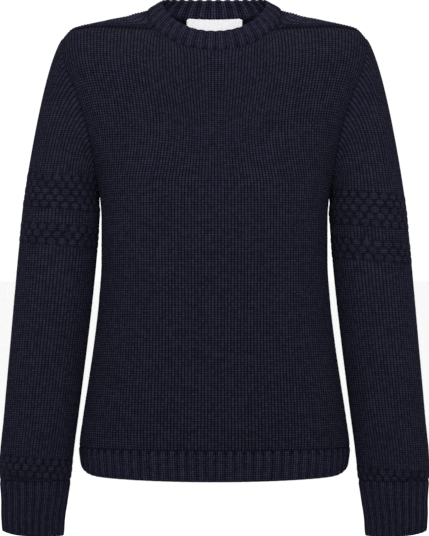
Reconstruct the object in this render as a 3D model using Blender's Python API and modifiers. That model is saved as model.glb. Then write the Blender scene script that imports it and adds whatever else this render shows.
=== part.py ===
"""Crew-neck knit sweater, hollow and open, in the form it takes when it is worn.

Sizes are in millimetres here and become metres as each mesh is made. +X is the viewer's right,
the front faces -Y and +Z is up. The origin lies between the shoulders, at the height of the
neck, where the wearer's shoulders carry the garment.

The torso is one closed form given by level rings. The front, the back and both shoulders are
cut from that form, the sleeves start at the armhole loops that lie on it, and the collar stands
on the neck loop. Neighbouring pieces share their seam points and part by the seam gap.
"""
import math

import bmesh
import bpy
import numpy as np

MM = 0.001

# Cloth and seams
WALL = 2.5
SEAM_GAP = 0.3
LONGEST_MITRE = 1.6

# Torso form, a row for each level ring
TORSO_COLUMNS = ("height", "half_width", "front_depth", "back_depth", "squareness")
TORSO = (
    (-612.0, 170.5, 102.0, 97.0, 2.40),
    (-600.0, 172.5, 104.0, 99.0, 2.40),
    (-563.0, 175.0, 107.0, 102.0, 2.40),
    (-529.0, 171.0, 108.0, 101.0, 2.45),
    (-477.0, 163.0, 110.0, 99.0, 2.50),
    (-425.0, 155.4, 113.0, 98.0, 2.50),
    (-373.0, 149.5, 117.0, 97.5, 2.50),
    (-321.0, 146.3, 120.5, 98.5, 2.50),
    (-269.0, 146.3, 122.0, 101.0, 2.50),
    (-243.0, 148.0, 121.5, 102.5, 2.50),
    (-213.0, 154.5, 119.0, 104.0, 2.50),
    (-155.0, 172.0, 111.0, 104.0, 2.50),
    (-108.0, 190.0, 101.0, 100.0, 2.45),
    (-66.0, 204.0, 84.0, 92.5, 2.35),
    (-53.0, 204.0, 74.0, 89.5, 2.30),
    (-42.0, 201.5, 63.0, 86.0, 2.25),
    (-32.0, 196.0, 52.5, 82.0, 2.20),
    (-22.0, 183.0, 38.5, 77.0, 2.20),
    (-16.0, 160.0, 30.5, 73.0, 2.20),
    (-9.0, 137.0, 20.5, 66.0, 2.20),
    (-4.5, 113.0, 15.0, 60.5, 2.20),
    (2.0, 92.0, 7.0, 49.5, 2.20),
    (7.0, 76.0, 2.0, 38.0, 2.20),
)
HEM_SEAM = -563.0

# Armhole loop on the torso form, seen from the side
ARMHOLE_TOP = -32.0
ARMHOLE_BOTTOM = -239.0
ARMHOLE_HALF_WIDTH = 50.0
ARMHOLE_ROUNDNESS = 1.3

# Forward shoulder seam, from the shoulder tip to the neck
SHOULDER_SEAM_COLUMNS = ("out_from_middle", "forward")
SHOULDER_SEAM = (
    (196.0, 0.0),
    (183.0, 4.5),
    (158.0, 14.0),
    (122.0, 26.0),
    (83.5, 33.0),
)

# Neck loop, where the collar is sewn on, and the collar's top edge
NECK_HALF_WIDTH = 87.0
NECK_FRONT = 74.0
NECK_BACK = 58.0
COLLAR_TOP_HALF_WIDTH = 68.0
COLLAR_TOP_FRONT = 60.0
COLLAR_TOP_BACK = 50.0
NECK_SQUARENESS = 2.1
COLLAR_TOP_COLUMNS = ("place_front_to_back", "height")
COLLAR_TOP = (
    (-60.0, -28.0),
    (-42.0, -12.5),
    (-20.0, 3.0),
    (0.0, 14.0),
    (25.0, 19.0),
    (50.0, 20.0),
)
COLLAR_BULGE = 1.6

# Grid of the panels: a lower block up to the underarms and an upper block over the shoulders
LOWER_ROWS = 9
UPPER_ROWS = 8
UNDERARM_COLUMNS = 4
ARMHOLE_COLUMNS = UNDERARM_COLUMNS + UPPER_ROWS
SHOULDER_COLUMNS = 8
SETTLE_ROUNDS = 8
FRONT_NECK_RIBS = 14
BACK_NECK_RIBS = 20

# Walls stand level below the armholes and square to the form above them
LEVEL_WALLS_BELOW = ARMHOLE_BOTTOM - 40.0
SQUARE_WALLS_ABOVE = ARMHOLE_BOTTOM + 60.0

# Rays that carry panel points onto the torso form: level low down, fanned out over the shoulders
LEVEL_RAYS_BELOW = -170.0
FANNED_RAYS_ABOVE = -60.0
RAY_START_DROP = 70.0
RAY_START_SPREAD = 0.6
RAY_REACH = 3.0

# Sleeves, a row for each level ring of one sleeve
SLEEVE_COLUMNS = ("height", "centre_out", "centre_forward", "half_width", "half_depth")
SLEEVE = (
    (-678.0, 235.0, 13.0, 39.4, 24.5),
    (-659.0, 235.0, 12.5, 40.4, 26.0),
    (-633.0, 233.3, 11.5, 42.3, 29.0),
    (-607.0, 232.3, 10.5, 45.2, 33.0),
    (-594.0, 232.0, 10.0, 46.8, 35.5),
    (-568.0, 230.0, 9.0, 47.5, 38.0),
    (-529.0, 225.5, 7.0, 48.1, 41.0),
    (-477.0, 220.0, 5.0, 49.1, 44.5),
    (-425.0, 214.5, 3.0, 50.0, 48.0),
    (-373.0, 209.3, 1.5, 50.7, 51.0),
    (-321.0, 204.4, 0.5, 51.0, 53.5),
    (-262.0, 199.4, 0.0, 50.4, 55.0),
)
SLEEVE_SQUARENESS = 2.15
SLEEVE_HEAD = -262.0
SLEEVE_RINGS = 11
HEAD_STEPS = (0.0, 0.08, 0.20, 0.36, 0.55, 0.77)
HEAD_COLUMNS = ("angle", "out", "forward", "down", "leave_length", "arrive_length")
HEAD = (
    (0.0, 0.70, 0.00, 0.71, 0.40, 0.30),
    (30.0, 0.71, 0.06, 0.70, 0.48, 0.45),
    (60.0, 0.72, 0.12, 0.68, 0.66, 0.75),
    (110.0, 0.75, 0.10, 0.65, 0.80, 0.95),
    (150.0, 0.60, 0.05, 0.80, 0.80, 0.95),
    (180.0, 0.55, 0.00, 0.84, 0.80, 0.95),
)
HEAD_PROBE = 10.0

# Cuffs
CUFF_SEAM = -606.0
CUFF_END = -677.0
CUFF_RIBS = 24
CUFF_OUTER_LIFT = 6.0
CUFF_LIFT_SHARPNESS = 4.0

# Hem rib
HEM_END = -602.0
HEM_RIBS = 38
HEM_CORNER_LIFT = 10.0
HEM_CORNER_SHARPNESS = 10.0

# Ribs: each is a groove, a rise, a crest and a fall along its pitch
RIB_COLUMNS = ("place", "height")
RIB = (
    (0.00, 0.0),
    (0.20, 0.0),
    (0.36, 1.0),
    (0.84, 1.0),
)
HEM_RIB_RELIEF = 1.7
CUFF_RIB_RELIEF = 1.5
COLLAR_RIB_RELIEF = 1.4
GROOVE_DEPTH = 0.5
COLLAR_WALL = 2.6
COLLAR_SCALLOP = 1.2

# Rows of the ribbed walls, from the seam on: share of the wall's length, share of the relief
HEM_ROWS = ((0.0, 0.35), (0.10, 1.0), (1.0, 0.85))
CUFF_ROWS = ((0.0, 0.35), (0.06, 1.0), (1.0, 0.80))
COLLAR_ROWS = ((0.0, 0.35), (0.16, 1.0), (0.86, 1.0), (1.0, 0.55))

# Neck label
LABEL_WIDTH = 73.0
LABEL_LENGTH = 27.0
LABEL_THICKNESS = 0.8
LABEL_COLUMNS = 10
LABEL_ROWS = 3
LABEL_CLEARANCE = 1.35
LABEL_DROP = 1.55
LABEL_LEAN = 0.10

# Colours and finishes
NAVY = (0.0125, 0.0128, 0.0235)
NAVY_LIT = (0.0165, 0.0170, 0.0300)
NAVY_RIB = (0.0118, 0.0120, 0.0215)
LABEL_WHITE = (0.83, 0.83, 0.85)
KNIT_ROUGHNESS = 0.85
RIB_ROUGHNESS = 0.88
LABEL_ROUGHNESS = 0.70
SMOOTH_ANGLE = math.radians(38.0)

# Steps of the calculations
FINE_STEPS = 720
HALVINGS = 45
PROBE = 0.02
COLLAR_PROBE = 0.01
LOWEST_SHOULDER = -150.0


def clear_scene():
    for old in list(bpy.data.objects):
        bpy.data.objects.remove(old, do_unlink=True)


def unit(vectors):
    return vectors / np.linalg.norm(vectors, axis=-1, keepdims=True)


def smooth_step(values, start, end):
    share = np.clip((values - start) / (end - start), 0.0, 1.0)
    return share * share * (3.0 - 2.0 * share)


def smooth_curve(places, knots, values):
    """Read a smooth curve through a table's column, which never swings past its rows."""
    knots = np.asarray(knots, dtype=float)
    values = np.asarray(values, dtype=float)
    steps = np.diff(knots)
    slopes = np.diff(values) / steps
    tangents = np.zeros(len(knots))
    tangents[0] = slopes[0]
    tangents[-1] = slopes[-1]
    for row in range(1, len(knots) - 1):
        before = slopes[row - 1]
        after = slopes[row]
        if before * after > 0.0:
            tangents[row] = 2.0 * before * after / (before + after)
    places = np.clip(places, knots[0], knots[-1])
    row = np.clip(np.searchsorted(knots, places, side="right") - 1, 0, len(steps) - 1)
    share = (places - knots[row]) / steps[row]
    start = (1.0 + 2.0 * share) * (1.0 - share) ** 2 * values[row]
    leave = share * (1.0 - share) ** 2 * steps[row] * tangents[row]
    end = share ** 2 * (3.0 - 2.0 * share) * values[row + 1]
    arrive = share ** 2 * (share - 1.0) * steps[row] * tangents[row + 1]
    return start + leave + end + arrive


def column(table, names, name):
    place = names.index(name)
    return [row[place] for row in table]


def table_curve(places, table, names, name):
    return smooth_curve(places, column(table, names, names[0]), column(table, names, name))


def torso_value(name, heights):
    return table_curve(heights, TORSO, TORSO_COLUMNS, name)


def torso_excess(points):
    """Below zero inside the torso form, above zero outside it."""
    across = points[..., 0]
    along = points[..., 1]
    heights = points[..., 2]
    squareness = torso_value("squareness", heights)
    front = torso_value("front_depth", heights)
    back = torso_value("back_depth", heights)
    depth = np.where(along < 0.0, front, back)
    half_width = torso_value("half_width", heights)
    return np.abs(across / half_width) ** squareness + np.abs(along / depth) ** squareness - 1.0


def torso_slopes(points):
    slopes = []
    for axis in range(3):
        probe = np.zeros(3)
        probe[axis] = PROBE
        slopes.append(torso_excess(points + probe) - torso_excess(points - probe))
    return np.stack(slopes, axis=-1) / (2.0 * PROBE)


def torso_normals(points):
    """Outward directions of the torso form, level below the armholes so that hem rims are flat."""
    normals = unit(torso_slopes(points))
    normals[..., 2] *= smooth_step(points[..., 2], LEVEL_WALLS_BELOW, SQUARE_WALLS_ABOVE)
    return unit(normals)


def onto_torso(points):
    """Move points onto the torso form, along rays from its middle."""
    lift = smooth_step(points[..., 2], LEVEL_RAYS_BELOW, FANNED_RAYS_ABOVE)
    middle = np.zeros(points.shape)
    middle[..., 0] = RAY_START_SPREAD * points[..., 0] * lift
    middle[..., 2] = points[..., 2] - RAY_START_DROP * lift
    reach = points - middle
    near = np.zeros(points.shape[:-1])
    far = np.full(points.shape[:-1], RAY_REACH)
    for _ in range(HALVINGS):
        trial = 0.5 * (near + far)
        outside = torso_excess(middle + reach * trial[..., None]) > 0.0
        far = np.where(outside, trial, far)
        near = np.where(outside, near, trial)
    return middle + reach * near[..., None]


def settle(grid, fixed):
    """Even out a grid's inner points, like a net stretched over the torso form."""
    for _ in range(SETTLE_ROUNDS):
        over = grid[1:-1, :-2] + grid[1:-1, 2:]
        up = grid[:-2, 1:-1] + grid[2:, 1:-1]
        inner = 0.25 * (over + up)
        slopes = torso_slopes(inner)
        steepness = np.sum(slopes * slopes, axis=-1)
        inner -= slopes * (torso_excess(inner) / steepness)[..., None]
        grid[1:-1, 1:-1] = np.where(np.isfinite(inner), inner, grid[1:-1, 1:-1])
        grid = np.where(np.isfinite(fixed), fixed, grid)
    return grid


def torso_height(across, along):
    """Height of the torso form's upper side over places seen from above."""
    low = np.full(np.shape(across), LOWEST_SHOULDER)
    high = np.full(np.shape(across), TORSO[-1][0])
    for _ in range(HALVINGS):
        trial = 0.5 * (low + high)
        outside = torso_excess(np.stack([across, along, trial], axis=-1)) > 0.0
        high = np.where(outside, trial, high)
        low = np.where(outside, low, trial)
    return low


def walk(points, shares):
    """Points at the given shares of the way along a fine polyline."""
    lengths = np.linalg.norm(np.diff(points, axis=0), axis=1)
    travelled = np.concatenate([[0.0], np.cumsum(lengths)])
    places = shares * travelled[-1]
    return np.stack([np.interp(places, travelled, points[:, axis]) for axis in range(3)], axis=-1)


def even_shares(steps):
    return np.linspace(0.0, 1.0, steps + 1)


def signed_power(values, power):
    return np.sign(values) * np.abs(values) ** power


def torso_half_ring(height, facing, steps):
    """Half of a level ring from the left side seam to the right one, front (-1) or back (+1)."""
    angles = np.linspace(math.pi, 0.0, FINE_STEPS + 1)
    power = 2.0 / torso_value("squareness", height)
    depth_name = "front_depth" if facing < 0 else "back_depth"
    across = torso_value("half_width", height) * signed_power(np.cos(angles), power)
    along = facing * torso_value(depth_name, height) * np.abs(np.sin(angles)) ** power
    ring = np.stack([across, along, np.full(angles.shape, height)], axis=-1)
    return walk(ring, even_shares(steps))


def armhole_edge(side, facing, steps):
    """Half of an armhole loop from the underarm to the shoulder tip, front (-1) or back (+1)."""
    angles = np.linspace(math.pi, 0.0, FINE_STEPS + 1)
    centre = 0.5 * (ARMHOLE_TOP + ARMHOLE_BOTTOM)
    reach = 0.5 * (ARMHOLE_TOP - ARMHOLE_BOTTOM)
    heights = centre + reach * np.cos(angles)
    along = facing * ARMHOLE_HALF_WIDTH * np.abs(np.sin(angles)) ** ARMHOLE_ROUNDNESS
    squareness = torso_value("squareness", heights)
    depth_name = "front_depth" if facing < 0 else "back_depth"
    depth = torso_value(depth_name, heights)
    share = (1.0 - np.abs(along / depth) ** squareness) ** (1.0 / squareness)
    across = side * torso_value("half_width", heights) * share
    return walk(np.stack([across, along, heights], axis=-1), even_shares(steps))


def shoulder_seam(side, steps):
    """Forward shoulder seam from the shoulder tip to the neck."""
    out = np.linspace(SHOULDER_SEAM[0][0], SHOULDER_SEAM[-1][0], FINE_STEPS + 1)
    rising = SHOULDER_SEAM[::-1]
    along = -table_curve(out, rising, SHOULDER_SEAM_COLUMNS, "forward")
    heights = torso_height(out, along)
    heights[0] = ARMHOLE_TOP
    return walk(np.stack([side * out, along, heights], axis=-1), even_shares(steps))


def neck_angle_of_seam():
    """Loop angle, from the side towards the front, at which the shoulder seam meets the neck."""
    return math.asin((SHOULDER_SEAM[-1][1] / NECK_FRONT) ** (NECK_SQUARENESS / 2.0))


def neck_plan(angles, half_width, front, back):
    """A neck loop seen from above; angle 0 is the right side and -90 degrees the front."""
    power = 2.0 / NECK_SQUARENESS
    across = half_width * signed_power(np.cos(angles), power)
    sine = np.sin(angles)
    along = np.where(sine < 0.0, front, back) * signed_power(sine, power)
    return across, along


def neck_points(angles):
    across, along = neck_plan(angles, NECK_HALF_WIDTH, NECK_FRONT, NECK_BACK)
    return np.stack([across, along, torso_height(across, along)], axis=-1)


def even_angles(start, end, steps):
    """Loop angles that part the neck loop into even lengths."""
    angles = np.linspace(start, end, FINE_STEPS + 1)
    lengths = np.linalg.norm(np.diff(neck_points(angles), axis=0), axis=1)
    travelled = np.concatenate([[0.0], np.cumsum(lengths)])
    return np.interp(np.linspace(0.0, travelled[-1], steps + 1), travelled, angles)


def front_neck_angles():
    seam = neck_angle_of_seam()
    return even_angles(seam - math.pi, -seam, FRONT_NECK_RIBS)


def back_neck_angles():
    seam = neck_angle_of_seam()
    return even_angles(math.pi + seam, -seam, BACK_NECK_RIBS)


def top_edge(neck_angles):
    """Top of a panel's upper block: left shoulder seam, neck, right shoulder seam."""
    left = shoulder_seam(-1, SHOULDER_COLUMNS)
    right = shoulder_seam(1, SHOULDER_COLUMNS)[::-1]
    return np.concatenate([left[:-1], neck_points(neck_angles), right[1:]])


def chest_row(facing, corner, steps):
    """Level row between the armholes, from the left armhole's corner point to the right one's."""
    ring = torso_half_ring(corner[2], facing, FINE_STEPS)
    between = ring[np.abs(ring[:, 1]) > abs(corner[1])]
    mirrored = corner * np.array([-1.0, 1.0, 1.0])
    return walk(np.concatenate([[corner], between, [mirrored]]), even_shares(steps))


def side_seam(side, shares):
    heights = HEM_SEAM + shares * (ARMHOLE_BOTTOM - HEM_SEAM)
    half_width = torso_value("half_width", heights)
    return np.stack([side * half_width, np.zeros(heights.shape), heights], axis=-1)


def seam_offset(edge, rims, towards):
    """Half a seam gap across an edge, square to it and to its rim, towards the given points."""
    tangents = unit(np.gradient(edge, axis=0))
    across = unit(np.cross(tangents, rims))
    side = np.sign(np.sum(across * (towards - edge), axis=-1, keepdims=True))
    return 0.5 * SEAM_GAP * across * side


def patch(bottom, top, left, right):
    """Grid that blends between four edges and is then moved onto the torso form."""
    up = even_shares(len(left) - 1)[:, None, None]
    over = even_shares(len(top) - 1)[None, :, None]
    sides = (1.0 - over) * left[:, None] + over * right[:, None]
    ends = (1.0 - up) * bottom[None, :] + up * top[None, :]
    low = (1.0 - over) * bottom[0] + over * bottom[-1]
    high = (1.0 - over) * top[0] + over * top[-1]
    grid = onto_torso(sides + ends - (1.0 - up) * low - up * high)
    grid[0] = bottom
    grid[-1] = top
    grid[:, 0] = left
    grid[:, -1] = right
    return grid


def panel_grid(facing, neck_angles):
    """Front or back panel on the torso form, rows from the hem seam up, columns left to right.

    The lower block reaches the underarms. The upper block is narrower and lies between the
    armholes, so the places beside it stay empty.
    """
    left = armhole_edge(-1, facing, ARMHOLE_COLUMNS)
    right = armhole_edge(1, facing, ARMHOLE_COLUMNS)
    top = top_edge(neck_angles)
    corner = UNDERARM_COLUMNS
    chest = chest_row(facing, left[corner], len(top) - 1)
    row = np.concatenate([left[:corner], chest, right[:corner][::-1]])
    rise = even_shares(LOWER_ROWS)
    hem = torso_half_ring(HEM_SEAM, facing, len(row) - 1)
    lower = patch(hem, row, side_seam(-1, rise), side_seam(1, rise))
    upper = patch(chest, top, left[corner:], right[corner:])
    grid = np.full((LOWER_ROWS + UPPER_ROWS + 1, len(row), 3), np.nan)
    grid[:LOWER_ROWS + 1] = lower
    grid[LOWER_ROWS:, corner:-corner] = upper
    fixed = np.full(grid.shape, np.nan)
    fixed[[0, -1]] = grid[[0, -1]]
    fixed[:LOWER_ROWS + 1, [0, -1]] = grid[:LOWER_ROWS + 1, [0, -1]]
    fixed[LOWER_ROWS, :corner + 1] = grid[LOWER_ROWS, :corner + 1]
    fixed[LOWER_ROWS, -corner - 1:] = grid[LOWER_ROWS, -corner - 1:]
    fixed[LOWER_ROWS:, [corner, -corner - 1]] = grid[LOWER_ROWS:, [corner, -corner - 1]]
    return settle(grid, fixed)


def mitre(first, second):
    """Shared rim direction of two walls, long enough that both keep their thickness."""
    middle = unit(first + second)
    cosine = np.sum(middle * first, axis=-1, keepdims=True)
    return middle / np.clip(cosine, 1.0 / LONGEST_MITRE, 1.0)


def grid_normals(grid):
    """Directions square to a tube's grid whose columns close on themselves."""
    along = np.gradient(grid, axis=0)
    around = np.roll(grid, -1, axis=1) - np.roll(grid, 1, axis=1)
    return unit(np.cross(around, along))


def sleeve_value(name, heights):
    return table_curve(heights, SLEEVE, SLEEVE_COLUMNS, name)


def sleeve_ring(side, height, angles):
    """A level sleeve ring; angle 0 is its outer side, 90 degrees its front."""
    power = 2.0 / SLEEVE_SQUARENESS
    out = sleeve_value("centre_out", height)
    out = out + sleeve_value("half_width", height) * signed_power(np.cos(angles), power)
    forward = sleeve_value("centre_forward", height)
    forward = forward + sleeve_value("half_depth", height) * signed_power(np.sin(angles), power)
    return np.stack([side * out, -forward, np.full(angles.shape, height)], axis=-1)


def ring_angles(steps):
    return np.linspace(0.0, 2.0 * math.pi, steps, endpoint=False)


def even_ring_angles(height, steps):
    """Ring angles that part a sleeve ring into even lengths."""
    angles = np.linspace(0.0, 2.0 * math.pi, FINE_STEPS + 1)
    lengths = np.linalg.norm(np.diff(sleeve_ring(1, height, angles), axis=0), axis=1)
    travelled = np.concatenate([[0.0], np.cumsum(lengths)])
    return np.interp(np.arange(steps) / steps * travelled[-1], travelled, angles)


def armhole_loop(side):
    """Whole armhole loop: shoulder tip, down the front, underarm, up the back."""
    front = armhole_edge(side, -1, ARMHOLE_COLUMNS)[::-1]
    back = armhole_edge(side, 1, ARMHOLE_COLUMNS)
    return np.concatenate([front, back[1:-1]])


def sleeve_grid(side):
    """Sleeve from the armhole loop down to the cuff seam, columns as on the armhole loop."""
    loop = armhole_loop(side)
    columns = len(loop)
    head = sleeve_ring(side, SLEEVE_HEAD, even_ring_angles(SLEEVE_HEAD, columns))
    lower = SLEEVE_HEAD - HEAD_PROBE
    below = sleeve_ring(side, lower, even_ring_angles(lower, columns))
    turn = np.abs((np.degrees(ring_angles(columns)) + 180.0) % 360.0 - 180.0)
    facing = np.where(ring_angles(columns) <= math.pi, 1.0, -1.0)
    leave = np.stack([
        side * table_curve(turn, HEAD, HEAD_COLUMNS, "out"),
        -facing * table_curve(turn, HEAD, HEAD_COLUMNS, "forward"),
        -table_curve(turn, HEAD, HEAD_COLUMNS, "down"),
    ], axis=-1)
    distance = np.linalg.norm(head - loop, axis=-1, keepdims=True)
    leave_length = table_curve(turn, HEAD, HEAD_COLUMNS, "leave_length")[:, None]
    arrive_length = table_curve(turn, HEAD, HEAD_COLUMNS, "arrive_length")[:, None]
    leave = unit(leave) * distance * leave_length
    arrive = unit(below - head) * distance * arrive_length
    rows = []
    for share in HEAD_STEPS:
        start = (1.0 + 2.0 * share) * (1.0 - share) ** 2 * loop
        end = share ** 2 * (3.0 - 2.0 * share) * head
        bend = share * (1.0 - share) ** 2 * leave + share ** 2 * (share - 1.0) * arrive
        rows.append(start + end + bend)
    for height in np.linspace(SLEEVE_HEAD, CUFF_SEAM + 0.5 * SEAM_GAP, SLEEVE_RINGS):
        rows.append(sleeve_ring(side, height, even_ring_angles(height, columns)))
    return np.array(rows)


def armhole_rims(side):
    """Rim directions round an armhole loop, shared by the sleeve and both panels."""
    loop = armhole_loop(side)
    sleeve = grid_normals(sleeve_grid(side))[0] * side
    return mitre(torso_normals(loop), sleeve)


def collar_heights(places):
    return table_curve(places, COLLAR_TOP, COLLAR_TOP_COLUMNS, "height")


def collar_line(angles, share):
    """Line round the collar band at a share of its height over the neck loop."""
    base = neck_points(angles)
    across, along = neck_plan(angles, COLLAR_TOP_HALF_WIDTH, COLLAR_TOP_FRONT, COLLAR_TOP_BACK)
    top = np.stack([across, along, collar_heights(along)], axis=-1)
    outward = np.stack([across, along, np.zeros(across.shape)], axis=-1)
    bulge = COLLAR_BULGE * math.sin(math.pi * share)
    return (1.0 - share) * base + share * top + bulge * unit(outward)


def collar_normals(angles, share):
    around = collar_line(angles + COLLAR_PROBE, share) - collar_line(angles - COLLAR_PROBE, share)
    above = collar_line(angles, min(share + COLLAR_PROBE, 1.0))
    below = collar_line(angles, max(share - COLLAR_PROBE, 0.0))
    return unit(np.cross(around, above - below))


def neck_rims(angles):
    """Rim directions round the neck loop, shared by the collar and both panels."""
    return mitre(torso_normals(neck_points(angles)), collar_normals(angles, 0.0))


def panel_walls(facing, neck_angles):
    """Outer and inner grids of a panel, its edges drawn back from the seams."""
    outer = panel_grid(facing, neck_angles)
    rims = torso_normals(outer)
    corner = UNDERARM_COLUMNS
    up = np.arange(ARMHOLE_COLUMNS + 1)
    underarm_to_tip = (ARMHOLE_COLUMNS + facing * up) % (2 * ARMHOLE_COLUMNS)
    rows = LOWER_ROWS + np.maximum(up - corner, 0)
    places = np.minimum(up, corner)
    shift = np.zeros(outer.shape)
    shift[0, :, 2] = 0.5 * SEAM_GAP
    for side, columns in ((-1, places), (1, -1 - places)):
        rims[rows, columns] = armhole_rims(side)[underarm_to_tip]
        inside = outer[rows - 1, columns - side]
        shift[rows, columns] += seam_offset(outer[rows, columns], rims[rows, columns], inside)
    neck = corner + SHOULDER_COLUMNS + np.arange(len(neck_angles))
    rims[-1, neck] = neck_rims(neck_angles)
    top = slice(corner, len(outer[0]) - corner)
    shift[-1, top] += seam_offset(outer[-1, top], rims[-1, top], outer[-2, top])
    for edge, inward in ((0, 1), (-1, -2)):
        seam = slice(0, LOWER_ROWS + 1)
        shift[seam, edge] += seam_offset(outer[seam, edge], rims[seam, edge], outer[seam, inward])
    outer = outer + shift
    return outer, outer - WALL * rims


def rib_points(lines, normals, relief, closed):
    """Raise ribs on a line of rib marks: each stretch between marks gets a rib's own points."""
    marks = len(lines) if closed else len(lines) - 1
    places = column(RIB, RIB_COLUMNS, "place")
    heights = column(RIB, RIB_COLUMNS, "height")
    points = []
    for mark in range(marks):
        following = (mark + 1) % len(lines)
        for place, height in zip(places, heights):
            base = (1.0 - place) * lines[mark] + place * lines[following]
            normal = unit((1.0 - place) * normals[mark] + place * normals[following])
            points.append(base + normal * (height * relief - GROOVE_DEPTH * (1.0 - height)))
    if not closed:
        points.append(lines[-1] - normals[-1] * GROOVE_DEPTH)
    return points


def hem_walls(facing):
    """Outer and inner grids of half the hem rib, rows from the seam down."""
    outer = []
    inner = []
    for share, strength in HEM_ROWS:
        height = HEM_SEAM + share * (HEM_END - HEM_SEAM)
        line = torso_half_ring(height, facing, HEM_RIBS)
        normals = torso_normals(line)
        normals[[0, -1], 1] = 0.0
        line[[0, -1], 1] = facing * 0.5 * SEAM_GAP
        corner = np.abs(line[:, 0] / line[0, 0]) ** HEM_CORNER_SHARPNESS
        line[:, 2] += share * HEM_CORNER_LIFT * corner - (share == 0.0) * 0.5 * SEAM_GAP
        outer.append(rib_points(line, normals, HEM_RIB_RELIEF * strength, False))
        inner.append(line - WALL * normals)
    return np.array(outer), np.array(inner)


def cuff_walls(side):
    """Outer and inner grids of a cuff, rows from the seam down."""
    outer = []
    inner = []
    for share, strength in CUFF_ROWS:
        height = CUFF_SEAM - 0.5 * SEAM_GAP + share * (CUFF_END - CUFF_SEAM)
        angles = even_ring_angles(height, CUFF_RIBS)
        line = sleeve_ring(side, height, angles)
        around = np.roll(line, -1, axis=0) - np.roll(line, 1, axis=0)
        normals = unit(np.cross(around, np.array([0.0, 0.0, -side])))
        nearness = 0.5 * (1.0 + np.cos(angles))
        line[:, 2] += share * CUFF_OUTER_LIFT * nearness ** CUFF_LIFT_SHARPNESS
        outer.append(rib_points(line, normals, CUFF_RIB_RELIEF * strength, True))
        inner.append(line - WALL * normals)
    return np.array(outer), np.array(inner)


def sleeve_walls(side):
    """Outer and inner grids of a sleeve, its first ring drawn back from the armhole seam."""
    outer = sleeve_grid(side)
    rims = grid_normals(outer) * side
    flat = np.arange(len(outer)) >= len(HEAD_STEPS)
    rims[flat, :, 2] = 0.0
    rims = unit(rims)
    rims[0] = armhole_rims(side)
    closed = np.concatenate([outer[0, -1:], outer[0], outer[0, :1]])
    tangents = unit(closed[2:] - closed[:-2])
    across = unit(np.cross(tangents, rims[0]))
    away = np.sign(np.sum(across * (outer[1] - outer[0]), axis=-1, keepdims=True))
    outer[0] += 0.5 * SEAM_GAP * across * away
    return outer, outer - WALL * rims


def collar_walls():
    """Outer and inner grids of the collar band, ribs on both faces, rows from the seam up."""
    angles = np.concatenate([front_neck_angles()[:-1], back_neck_angles()[::-1][:-1]])
    outer = []
    inner = []
    following = COLLAR_ROWS[1][0]
    for share, strength in COLLAR_ROWS:
        line = collar_line(angles, share)
        normals = collar_normals(angles, share)
        if share == 0.0:
            normals = neck_rims(angles)
            closed = np.concatenate([line[-1:], line, line[:1]])
            tangents = unit(closed[2:] - closed[:-2])
            across = unit(np.cross(tangents, normals))
            rise = collar_line(angles, following) - line
            upward = np.sign(np.sum(across * rise, axis=-1))
            line = line + 0.5 * SEAM_GAP * across * upward[:, None]
        scallop = COLLAR_SCALLOP * (share == 1.0)
        face = np.array(rib_points(line, normals, COLLAR_RIB_RELIEF * strength, True))
        crests = np.tile(column(RIB, RIB_COLUMNS, "height"), len(line))
        face[:, 2] += scallop * crests
        back_line = line - COLLAR_WALL * normals
        lining = np.array(rib_points(back_line, -normals, COLLAR_RIB_RELIEF * strength, True))
        lining[:, 2] += scallop * crests
        outer.append(face)
        inner.append(lining)
    return np.array(outer), np.array(inner)


def material(name, colour, roughness):
    made = bpy.data.materials.new(name)
    made.use_nodes = True
    shader = made.node_tree.nodes["Principled BSDF"]
    shader.inputs["Base Color"].default_value = (*colour, 1.0)
    shader.inputs["Roughness"].default_value = roughness
    shader.inputs["Metallic"].default_value = 0.0
    made.diffuse_color = (*colour, 1.0)
    return made


def finish_object(name, mesh_data, collection, slot):
    mesh = bpy.data.meshes.new(name)
    mesh_data.to_mesh(mesh)
    mesh_data.free()
    mesh.shade_smooth()
    mesh.set_sharp_from_angle(angle=SMOOTH_ANGLE)
    mesh.materials.append(slot)
    made = bpy.data.objects.new(name, mesh)
    collection.objects.link(made)
    return made


def close_rim(mesh_data, outer, inner):
    """Close one stretch of rim. A twisted quad is split from its lower outer corner, so that
    two walls which share a seam part along the same faces."""
    if len(outer) > 2:
        mesh_data.faces.new(outer + inner[::-1])
        return
    low, high = (0, 1) if outer[0].co.z <= outer[1].co.z else (1, 0)
    mesh_data.faces.new((outer[low], outer[high], inner[high]))
    mesh_data.faces.new((outer[low], inner[high], inner[low]))


def skin(mesh_data, grid, closed):
    """Lay quads over a grid of points; places that hold no point stay empty."""
    corners = []
    for row in grid:
        known = [mesh_data.verts.new(point * MM) if point[0] == point[0] else None for point in row]
        corners.append(known + known[:1] if closed else known)
    for below, above in zip(corners[:-1], corners[1:]):
        for place in range(len(below) - 1):
            quad = (below[place], below[place + 1], above[place + 1], above[place])
            if None not in quad:
                mesh_data.faces.new(quad)
    return corners


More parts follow.
